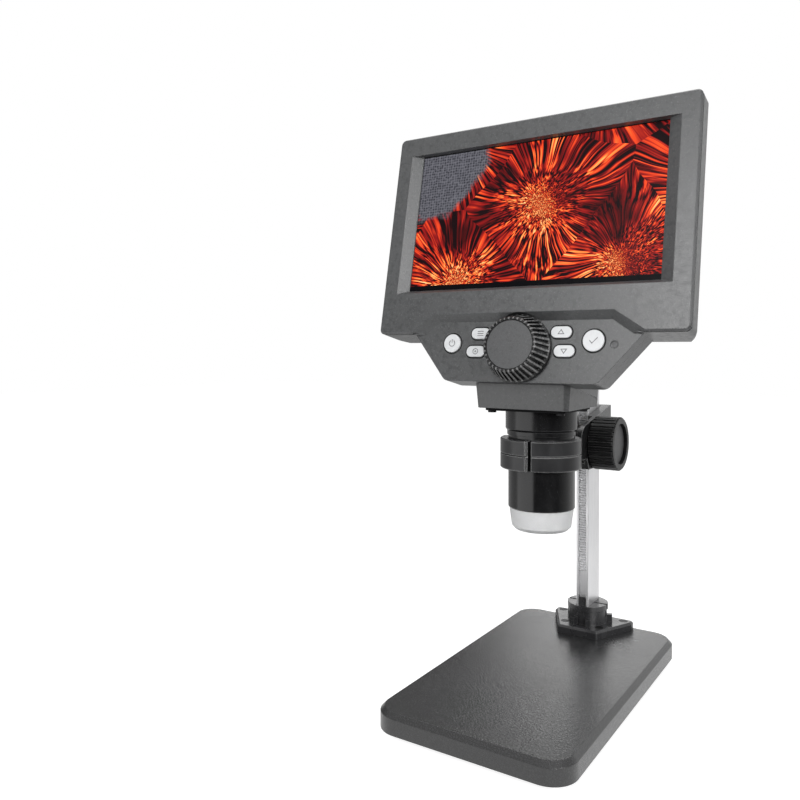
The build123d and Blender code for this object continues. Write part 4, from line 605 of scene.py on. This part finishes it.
def screen_picture(name, look):
    """The lit picture: fans of needle crystals in hot colours, a grey film in one corner, a black border.

    Each fan fills a cell. The direction from the cell's middle, as a point on a circle, picks the needle from noise,
    so that needles are straight and start at the middle. Their heat falls with the distance from it.
    """
    finish = Finish(name, Base_Color=(0.004, 0.004, 0.005), Specular_IOR_Level=0.03, Emission_Strength=look.brightness)
    across, height, _ = finish.split(finish.place(MM, tuple(PANEL_ORIGIN), PANEL_TURN))
    spot = finish.join(across, height)
    flat = finish.vector("SCALE", spot, scale=1.0 / look.fan_size)
    sway = finish.noise(finish.vector("SCALE", flat, scale=2.2), 1.0, output="Color")
    bent = finish.vector("ADD", flat, finish.vector("SCALE", sway, scale=0.12))
    fan = finish.nodes.new("ShaderNodeTexVoronoi")
    fan.voronoi_dimensions = "2D"
    fan.inputs["Scale"].default_value = 1.0
    finish.put(fan.inputs["Vector"], bent)
    far = fan.outputs["Distance"]
    heading = finish.vector("NORMALIZE", finish.vector("SUBTRACT", bent, fan.outputs["Position"]))
    tag = finish.split(fan.outputs["Color"])[0]

    def needles(count, drift, seed):
        """Noise round a circle of count units, moved on slowly with the distance."""
        shift = finish.sum("MULTIPLY_ADD", tag, 40.0, finish.sum("MULTIPLY_ADD", far, drift, seed))
        point = finish.vector("ADD", finish.vector("SCALE", heading, scale=count), finish.join(z=shift))
        return finish.noise(point, 2.0, 0.55)

    thick = finish.level(needles(8.0, 0.9, 3.0), 0.42, 0.66)
    thin = finish.level(needles(26.0, 2.2, 9.0), 0.44, 0.62)
    needle = finish.sum("MULTIPLY", finish.sum("ADD", finish.sum("MULTIPLY", thick, 0.7), 0.3), thin)
    glow = finish.level(far, 0.0, 0.95, 1.15, 0.35)
    shadows = finish.level(finish.noise(finish.vector("SCALE", flat, scale=1.6), 2.0, 0.5), 0.36, 0.56, 0.12, 1.0)
    heat = finish.sum("MULTIPLY", finish.sum("MULTIPLY", needle, glow), shadows)
    hot = finish.ramp(
        heat,
        (0.0, (0.006, 0.001, 0.001)),
        (0.12, tuple(look.deep)),
        (0.30, tuple(look.warm)),
        (0.52, tuple(look.hot)),
        (0.85, (1.0, 0.62, 0.26)),
    )
    corner = finish.vector("DISTANCE", spot, FILM_CORNER)
    edge = finish.noise(finish.vector("SCALE", flat, scale=3.0), 2.0, 0.5)
    film = finish.level(finish.sum("MULTIPLY_ADD", edge, 26.0, corner), 50.0, 46.0)
    dots = finish.cells(finish.vector("SCALE", spot, scale=0.62), random=0.35)
    grey = finish.ramp(dots, (0.1, (0.015, 0.015, 0.02)), (0.7, (0.13, 0.13, 0.15)))
    picture = finish.mix(film, hot, grey)
    inside_x = finish.sum("LESS_THAN", finish.sum("ABSOLUTE", across), PICTURE_HALF_WIDTH)
    off_middle = finish.sum("ABSOLUTE", finish.sum("SUBTRACT", height, (PICTURE_TOP + PICTURE_BOTTOM) / 2))
    inside_h = finish.sum("LESS_THAN", off_middle, (PICTURE_TOP - PICTURE_BOTTOM) / 2)
    lit = finish.mix(finish.sum("MULTIPLY", inside_x, inside_h), (0.0, 0.0, 0.0), picture)
    smear = finish.noise(finish.place(14 * MM), 3.0, 0.6)
    return finish.done(Emission_Color=lit, Roughness=finish.level(smear, 0.3, 0.7, 0.2, 0.34))


def dress(finish, *names):
    """Gives CAD nodes a finish in place of the plain colour they came with."""
    for name in names:
        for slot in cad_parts[name].material_slots:
            slot.material = finish


# ---------------------------------------------------------------- settings


class MicroscopeCaseLook(PropertyGroup):
    """Moulded case, neck and painted base."""

    case: FloatVectorProperty(
        name="Case plastic",
        description="Colour of the screen surround, the key panel and the rear cover",
        subtype="COLOR",
        min=0.0,
        max=1.0,
        default=(0.063, 0.0645, 0.066),
    )
    grain_size: FloatProperty(
        name="Case grain",
        description="Width of one grain of the case's texture",
        unit="LENGTH",
        precision=5,
        min=0.0001,
        default=0.9 * MM,
    )
    grain_depth: FloatProperty(
        name="Case grain depth",
        description="Depth of the case's texture",
        unit="LENGTH",
        precision=5,
        min=0.0,
        default=0.035 * MM,
    )
    neck: FloatVectorProperty(
        name="Neck plastic",
        description="Colour of the block between the case and the barrel",
        subtype="COLOR",
        min=0.0,
        max=1.0,
        default=(0.054, 0.055, 0.056),
    )


class MicroscopeStandLook(PropertyGroup):
    """Base, post and what clamps on it."""

    base: FloatVectorProperty(
        name="Base paint",
        description="Colour of the painted base plate",
        subtype="COLOR",
        min=0.0,
        max=1.0,
        default=(0.026, 0.0265, 0.0275),
    )
    grain_size: FloatProperty(
        name="Base grain",
        description="Width of one pebble of the base's leather grain",
        unit="LENGTH",
        precision=5,
        min=0.0002,
        default=1.5 * MM,
    )
    grain_depth: FloatProperty(
        name="Base grain depth",
        description="Depth of the base's leather grain",
        unit="LENGTH",
        precision=5,
        min=0.0,
        default=0.035 * MM,
    )
    aluminium: FloatVectorProperty(
        name="Post aluminium",
        description="Colour of the drawn aluminium post and its rack",
        subtype="COLOR",
        min=0.0,
        max=1.0,
        default=(0.80, 0.80, 0.81),
    )
    black: FloatVectorProperty(
        name="Black plastic",
        description="Colour of the glossy black mouldings: post mount, carriage, ring, barrels and knobs",
        subtype="COLOR",
        min=0.0,
        max=1.0,
        default=(0.006, 0.006, 0.0065),
    )


class MicroscopeScreenLook(PropertyGroup):
    """The picture on the screen."""

    brightness: FloatProperty(
        name="Brightness",
        description="Strength of the lit picture",
        min=0.0,
        max=4.0,
        default=1.35,
    )
    fan_size: FloatProperty(
        name="Fan size",
        description="Width of one fan of crystals on the screen, in millimetres",
        min=5.0,
        max=150.0,
        default=66.0,
    )
    deep: FloatVectorProperty(
        name="Deep colour",
        description="Colour of the dim needles",
        subtype="COLOR",
        min=0.0,
        max=1.0,
        default=(0.26, 0.007, 0.006),
    )
    warm: FloatVectorProperty(
        name="Warm colour",
        description="Colour of most needles",
        subtype="COLOR",
        min=0.0,
        max=1.0,
        default=(0.88, 0.068, 0.014),
    )
    hot: FloatVectorProperty(
        name="Hot colour",
        description="Colour of the bright needles",
        subtype="COLOR",
        min=0.0,
        max=1.0,
        default=(1.0, 0.34, 0.07),
    )


class MicroscopeStageLook(PropertyGroup):
    """Floor, lamps and camera."""

    floor_width: FloatProperty(
        name="Floor width",
        description="Width of the square floor",
        unit="LENGTH",
        min=0.5,
        default=6.0,
    )
    key_power: FloatProperty(
        name="Key lamp",
        description="Power of the lamp on the right",
        unit="POWER",
        min=0.0,
        default=4.0,
    )
    top_power: FloatProperty(
        name="Top lamp",
        description="Power of the lamp overhead",
        unit="POWER",
        min=0.0,
        default=3.0,
    )
    front_power: FloatProperty(
        name="Front lamp",
        description="Power of the lamp in front, whose gloss lies on the case",
        unit="POWER",
        min=0.0,
        default=5.5,
    )
    surround: FloatProperty(
        name="Surround",
        description="Light that reaches the object from the white room",
        min=0.0,
        max=1.0,
        default=0.42,
    )
    lens: FloatProperty(
        name="Lens",
        description="Focal length of the camera, in millimetres",
        min=10.0,
        max=200.0,
        default=34.785,
    )


# ---------------------------------------------------------------- pieces


class MICROSCOPE_OT_case(Operator):
    """Give the screen surround, rear cover and neck their moulded plastic"""

    bl_idname = "microscope.case"
    bl_label = "Case"

    def execute(self, context):
        look = context.scene.microscope_case
        case = moulded_plastic("case_plastic", tuple(look.case), look.grain_size, look.grain_depth, 0.33)
        dress(case, "front_shell", "rear_cover")
        neck = moulded_plastic("neck_plastic", tuple(look.neck), look.grain_size, look.grain_depth * 0.5, 0.36)
        dress(neck, "neck_block")
        return {"FINISHED"}


class MICROSCOPE_OT_barrels(Operator):
    """Give the barrels and the plate above them glossy black plastic, and the cap under them its frosting"""

    bl_idname = "microscope.barrels"
    bl_label = "Barrels and diffuser"

    def execute(self, context):
        black = tuple(context.scene.microscope_stand.black)
        dress(polished_plastic("barrel_black", black, 0.16), "upper_barrel", "lower_barrel")
        dress(polished_plastic("neck_plate_black", black, 0.6, edge_wear_and_highlight=0.0, shine=0.1), "neck_plate")
        dress(frosted_plastic("diffuser_frost", (0.64, 0.645, 0.65)), "diffuser_cap")
        return {"FINISHED"}


class MICROSCOPE_OT_base(Operator):
    """Give the base plate its leather-grained paint, and what is under it its finishes"""

    bl_idname = "microscope.base"
    bl_label = "Base"

    def execute(self, context):
        look = context.scene.microscope_stand
        paint = leather_paint("base_paint", tuple(look.base), look.grain_size, look.grain_depth, 0.2)
        dress(paint, "base_shell")
        dress(soft_rubber("cover_black", (0.02, 0.02, 0.021), 1.2 * MM), "base_cover")
        dress(soft_rubber("foot_rubber", (0.025, 0.025, 0.026)), "rubber_feet")
        return {"FINISHED"}


class MICROSCOPE_OT_post(Operator):
    """Give the post, its rack, cap and mount their finishes"""

    bl_idname = "microscope.post"
    bl_label = "Post and mount"

    def execute(self, context):
        look = context.scene.microscope_stand
        aluminium, black = tuple(look.aluminium), tuple(look.black)
        dress(brushed_metal("drawn_aluminium", aluminium, 0.36), "post")
        # The rack's metal is a tenth brighter than the post's: painted light against the shade between its teeth.
        dress(brushed_metal("rack_aluminium_painted_light", shade(aluminium, 1.1), 0.5, along=(6.0, 0.1, 0.1)), "post_rack")
        dress(soft_rubber("post_cap_black", (0.018, 0.018, 0.019)), "post_cap")
        # Painted sheen: the mount's black is raised fivefold to stand in for the flange's reflection.
        dress(polished_plastic("mount_black_painted_sheen", shade(black, 5.0), 0.24, shine=0.9), "post_mount")
        black_steel = brushed_metal("black_steel", (0.03, 0.03, 0.031), 0.4, along=(0.3, 0.3, 0.3))
        dress(black_steel, "mount_screws", "neck_screws")
        return {"FINISHED"}


class MICROSCOPE_OT_carriage(Operator):
    """Give the carriage and its ring their finishes"""

    bl_idname = "microscope.carriage"
    bl_label = "Carriage and ring"

    def execute(self, context):
        black = tuple(context.scene.microscope_stand.black)
        # Strongly paled edges on the housing and ring: edge wear and a painted edge highlight.
        housing = polished_plastic("carriage_black", shade(black, 1.6), 0.26, edge_wear_and_highlight=0.6, edge=0.7, shine=0.8)
        dress(housing, "carriage_housing")
        dress(polished_plastic("ring_black", shade(black, 2.0), 0.3, edge_wear_and_highlight=0.7, edge=0.7), "holder_ring")
        return {"FINISHED"}


class MICROSCOPE_OT_knobs(Operator):
    """Give the two ribbed knobs and their faces their finishes"""

    bl_idname = "microscope.knobs"
    bl_label = "Knobs"

    def execute(self, context):
        black = tuple(context.scene.microscope_stand.black)
        centre = tuple(on_panel(*FOCUS_CENTRE, 0.0))
        ribs = ribbed_plastic("focus_knob_black", shade(black, 0.8), 0.24, FOCUS_RIBS, centre, PANEL_TURN)
        dress(ribs, "focus_knob")
        dress(polished_plastic("height_knob_black", shade(black, 0.8), 0.34, edge_wear_and_highlight=0.25, shine=0.25), "height_knob")
        grain_size, grain_depth = 0.5 * MM, 0.02 * MM
        face = moulded_plastic("knob_face_grey", (0.055, 0.056, 0.058), grain_size, grain_depth, 0.38)
        dress(face, "focus_knob_face")
        cap = moulded_plastic("knob_cap_grey", (0.07, 0.07, 0.072), grain_size, grain_depth, 0.5)
        dress(cap, "height_knob_cap")
        return {"FINISHED"}


class MICROSCOPE_OT_screen(Operator):
    """Light the screen with its picture"""

    bl_idname = "microscope.screen"
    bl_label = "Screen"

    def execute(self, context):
        dress(screen_picture("lit_picture", context.scene.microscope_screen), "lcd_panel")
        return {"FINISHED"}


class MICROSCOPE_OT_keys(Operator):
    """Give the six keys and the small light their finishes"""

    bl_idname = "microscope.keys"
    bl_label = "Keys"

    def execute(self, context):
        keys = ("power_button", "ok_button", "up_button", "down_button", "menu_button", "mode_button")
        dress(key_plastic("key_white", (0.62, 0.63, 0.64)), *keys)
        dress(clear_plastic("smoked_light", (0.06, 0.06, 0.065), 0.2, 0.15), "status_light")
        return {"FINISHED"}


class MICROSCOPE_OT_symbols(Operator):
    """Print one plain symbol on each key"""

    bl_idname = "microscope.symbols"
    bl_label = "Key symbols"

    def execute(self, context):
        ink = soft_rubber("symbol_ink", (0.16, 0.16, 0.165), 0.3 * MM, 0.004 * MM)
        up = [(-1.5, -0.95), (0.0, 1.25), (1.5, -0.95)]
        strokes = {
            "power": [(arc(1.75, 125, 415, 33), False), ([(0.0, 0.35), (0.0, 2.25)], False)],
            "ok": [([(-2.0, 0.1), (-0.6, -1.4), (2.2, 1.6)], False)],
            "up": [(up, True)],
            "down": [([(x, -y) for x, y in up], True)],
            "menu": [([(-1.8, y), (1.8, y)], False) for y in (-1.2, 0.0, 1.2)],
            "mode": [(arc(1.5, 0, 345, 24), True), (arc(0.35, 0, 330, 12), True)],
        }
        for key, centre in KEYS.items():
            lines = [flat_line(np.add(path, centre), closed, STROKE) for path, closed in strokes[key]]
            symbol = add_mesh(key + "_symbol", *joined(lines), ink)
            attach(symbol, key + "_key")
        return {"FINISHED"}


class MICROSCOPE_OT_shade_rings(Operator):
    """Lay a thin black ring of painted shade round each key and round the focus knob's face"""

    bl_idname = "microscope.rims"
    bl_label = "Key rims"

    def execute(self, context):
        # Painted shade: black rings laid where the gaps round the keys and round the knob's face would show dark.
        black = soft_rubber("painted_gap_shade", (0.004, 0.004, 0.004), 0.4 * MM, 0.004 * MM)
        paths = [oval(OVAL_SHADE_RING, OVAL_STRAIGHT, KEYS[key]) for key in ("up", "down", "menu", "mode")]
        paths += [arc(POWER_SHADE_RING, 0, 351, 40, KEYS["power"]), arc(OK_SHADE_RING, 0, 351, 40, KEYS["ok"])]
        rims = [flat_line(path, True, SHADE_RING_WIDTH, PANEL_TOP, SHADE_RING_RISE) for path in paths]
        keys = add_mesh("key_shade_rings", *joined(rims), black)
        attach(keys, "head")
        path = arc(FOCUS_SHADE_RING, 0, 356, 90, FOCUS_CENTRE)
        face = add_mesh("focus_face_shade_ring", *flat_line(path, True, FOCUS_SHADE_RING_WIDTH, FOCUS_FACE), black)
        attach(face, "focus_drive")
        return {"FINISHED"}


class MICROSCOPE_OT_drives(Operator):
    """Give the shafts, pinions, bushes and screws their metals"""

    bl_idname = "microscope.drives"
    bl_label = "Drives and screws"

    def execute(self, context):
        steel = brushed_metal("bright_steel", (0.58, 0.58, 0.59), 0.3, along=(0.3, 0.3, 0.3))
        brass = brushed_metal("turned_brass", (0.72, 0.52, 0.22), 0.28, along=(3.0, 0.15, 0.15))
        steels = (
            "base_weight",
            "base_screws",
            "post_bolt",
            "ring_screws",
            "tension_screws",
            "height_shaft",
            "shaft_clip",
            "case_screws",
            "focus_shaft",
        )
        dress(steel, *steels)
        dress(brass, "shaft_bushes", "height_pinion", "focus_bush", "focus_pinion")
        return {"FINISHED"}


class MICROSCOPE_OT_inside(Operator):
    """Give the boards, sockets, battery, lights and optics inside the head their finishes"""

    bl_idname = "microscope.inside"
    bl_label = "Inside the head"

    def execute(self, context):
        board = circuit_board("green_board", (0.02, 0.12, 0.045), (0.6, 0.58, 0.5))
        dress(board, "main_board", "key_board", "led_board", "sensor_board")
        shell = brushed_metal("plated_shell", (0.62, 0.62, 0.62), 0.3, along=(4.0, 0.2, 0.2))
        dress(shell, "usb_socket", "card_socket", "lcd_backlight")
        matt = soft_rubber("inner_black", (0.02, 0.02, 0.021))
        dress(matt, "optics_frame", "lens_carrier", "focus_rack", "friction_pad", "key_switches")
        dress(polished_plastic("battery_wrap", (0.05, 0.10, 0.20), 0.3), "battery")
        dress(clear_plastic("lamp_lens", (0.95, 0.93, 0.85), 0.6), "leds")
        dress(clear_plastic("coated_glass", (0.9, 0.93, 0.97), 0.95, 0.02, 1.52), "front_lens", "rear_lens")
        dress(clear_plastic("sensor_glass", (0.05, 0.07, 0.1), 0.1, 0.05), "image_sensor")
        return {"FINISHED"}


class MICROSCOPE_OT_stage(Operator):
    """Lay the floor, hang the lamps and set the camera"""

    bl_idname = "microscope.stage"
    bl_label = "Stage"

    def execute(self, context):
        look = context.scene.microscope_stage
        self.floor(look)
        aim = Vector((0.0, 0.0, 0.17))
        lamps = (
            ("key_lamp", (0.80, -0.51, 0.50), 0.45, look.key_power),
            ("top_lamp", (-0.05, 0.25, 1.15), 0.8, look.top_power),
            ("front_lamp", (0.02, -0.86, 0.58), 0.52, look.front_power),
        )
        hung = {lamp[0]: self.softbox(aim, *lamp) for lamp in lamps}
        self.spare(hung["front_lamp"], "base_shell", "post_mount")
        self.room(context.scene, look)
        self.camera(context.scene, look)
        return {"FINISHED"}

    def floor(self, look):
        """A flat sheet z = 0 over x and y, white to the camera apart from the object's shadow."""
        line = np.linspace(-look.floor_width / 2, look.floor_width / 2, 9)
        x, y = np.meshgrid(line, line, indexing="xy")
        points = np.stack([x, y, np.zeros_like(x)], -1).reshape(-1, 3)
        paper = bpy.data.materials.new("white_paper")
        wiring = Wiring(paper)
        mirroring, seeing = wiring.rays()
        matt = wiring.nodes.new("ShaderNodeBsdfDiffuse")
        wiring.put(matt.inputs["Color"], FLOOR_GREY)
        both = wiring.nodes.new("ShaderNodeAddShader")
        wiring.put(both.inputs[0], matt.outputs[0])
        wiring.put(both.inputs[1], wiring.glow(wiring.sum("MULTIPLY", seeing, FLOOR_GLOW)))
        way = wiring.nodes.new("ShaderNodeTexCoord").outputs["Object"]
        far = wiring.level(wiring.vector("LENGTH", way), *PLAIN_FLOOR)
        surface = wiring.nodes.new("ShaderNodeMixShader")
        wiring.put(surface.inputs[0], mirroring)
        wiring.put(surface.inputs[1], both.outputs[0])
        wiring.put(surface.inputs[2], wiring.glow(wiring.blend(far, 1.0, wiring.cards(way, LOW_CARDS))))
        wiring.finish("ShaderNodeOutputMaterial", surface.outputs[0])
        add_mesh("floor", points, grid_faces(9, 9), paper)

    def softbox(self, aim, name, place, size, power):
        """A square lamp that looks at the aim."""
        light = bpy.data.lights.new(name, "AREA")
        light.size, light.energy = size, power
        lamp = bpy.data.objects.new(name, light)
        lamp.location = place
        lamp.rotation_euler = (aim - Vector(place)).to_track_quat("-Z", "Y").to_euler()
        bpy.context.scene.collection.objects.link(lamp)
        return lamp

    def spare(self, lamp, *names):
        """Keeps a lamp off flat glossy pieces, which would glare white where they are seen against it."""
        spared = bpy.data.collections.new(lamp.name + "_spares")
        for name in names:
            spared.objects.link(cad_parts[name])
        lamp.light_linking.receiver_collection = spared
        for piece in spared.collection_objects:
            piece.light_linking.link_state = "EXCLUDE"

    def room(self, scene, look):
        """White where it is seen or seen through, white cards where it is mirrored, and a plain fill otherwise."""
        scene.world = bpy.data.worlds.new("white_room")
        wiring = Wiring(scene.world)
        way = wiring.nodes.new("ShaderNodeTexCoord").outputs["Generated"]
        height = wiring.split(way)[2]
        mirrored = wiring.cards(way, LOW_CARDS)
        for low, high, above in ((0.0, 0.12, wiring.cards(way, HIGH_CARDS)), *HIGH_LAYERS):
            mirrored = wiring.blend(wiring.level(height, low, high), mirrored, above)
        mirroring, seeing = wiring.rays()
        light = wiring.blend(seeing, wiring.blend(mirroring, look.surround, mirrored), 1.0)
        wiring.finish("ShaderNodeOutputWorld", wiring.glow(light, "ShaderNodeBackground"))

    def camera(self, scene, look):
        """Eye level with the barrel, to the right of the object, looking almost level."""
        data = bpy.data.cameras.new("camera")
        data.lens, data.sensor_width = look.lens, 36.0
        data.shift_x, data.shift_y = EYE_SHIFT
        data.clip_start, data.clip_end = 0.01, 20.0
        eye = bpy.data.objects.new("camera", data)
        eye.location = EYE
        eye.rotation_euler = (math.pi / 2 - EYE_DOWN, 0.0, EYE_ROUND)
        scene.collection.objects.link(eye)
        scene.camera = eye
        scene.view_settings.view_transform = "Standard"


class MICROSCOPE_PT_finishes(Panel):
    """Settings and steps, in the order in which they run."""

    bl_idname = "MICROSCOPE_PT_finishes"
    bl_label = "Microscope"
    bl_space_type = "VIEW_3D"
    bl_region_type = "UI"
    bl_category = "Microscope"

    def draw(self, context):
        for group in (MicroscopeCaseLook, MicroscopeStandLook, MicroscopeScreenLook, MicroscopeStageLook):
            box = self.layout.box()
            box.label(text=group.__doc__)
            for name in group.__annotations__:
                box.prop(getattr(context.scene, GROUPS[group]), name)
        for step in STEPS:
            self.layout.operator(step.bl_idname)


GROUPS = {
    MicroscopeCaseLook: "microscope_case",
    MicroscopeStandLook: "microscope_stand",
    MicroscopeScreenLook: "microscope_screen",
    MicroscopeStageLook: "microscope_stage",
}
STEPS = (
    MICROSCOPE_OT_case,
    MICROSCOPE_OT_barrels,
    MICROSCOPE_OT_base,
    MICROSCOPE_OT_post,
    MICROSCOPE_OT_carriage,
    MICROSCOPE_OT_knobs,
    MICROSCOPE_OT_screen,
    MICROSCOPE_OT_keys,
    MICROSCOPE_OT_symbols,
    MICROSCOPE_OT_shade_rings,
    MICROSCOPE_OT_drives,
    MICROSCOPE_OT_inside,
    MICROSCOPE_OT_stage,
)


def register():
    for item in (*GROUPS, *STEPS, MICROSCOPE_PT_finishes):
        bpy.utils.register_class(item)
    for group, name in GROUPS.items():
        setattr(bpy.types.Scene, name, PointerProperty(type=group))


def unregister():
    for name in GROUPS.values():
        delattr(bpy.types.Scene, name)
    for item in (MICROSCOPE_PT_finishes, *STEPS[::-1], *list(GROUPS)[::-1]):
        bpy.utils.unregister_class(item)


def main():
    """Runs every step once."""
    register()
    bpy.ops.microscope.case()
    bpy.ops.microscope.barrels()
    bpy.ops.microscope.base()
    bpy.ops.microscope.post()
    bpy.ops.microscope.carriage()
    bpy.ops.microscope.knobs()
    bpy.ops.microscope.screen()
    bpy.ops.microscope.keys()
    bpy.ops.microscope.symbols()
    bpy.ops.microscope.rims()
    bpy.ops.microscope.drives()
    bpy.ops.microscope.inside()
    bpy.ops.microscope.stage()


if __name__ == "__main__":
    main()
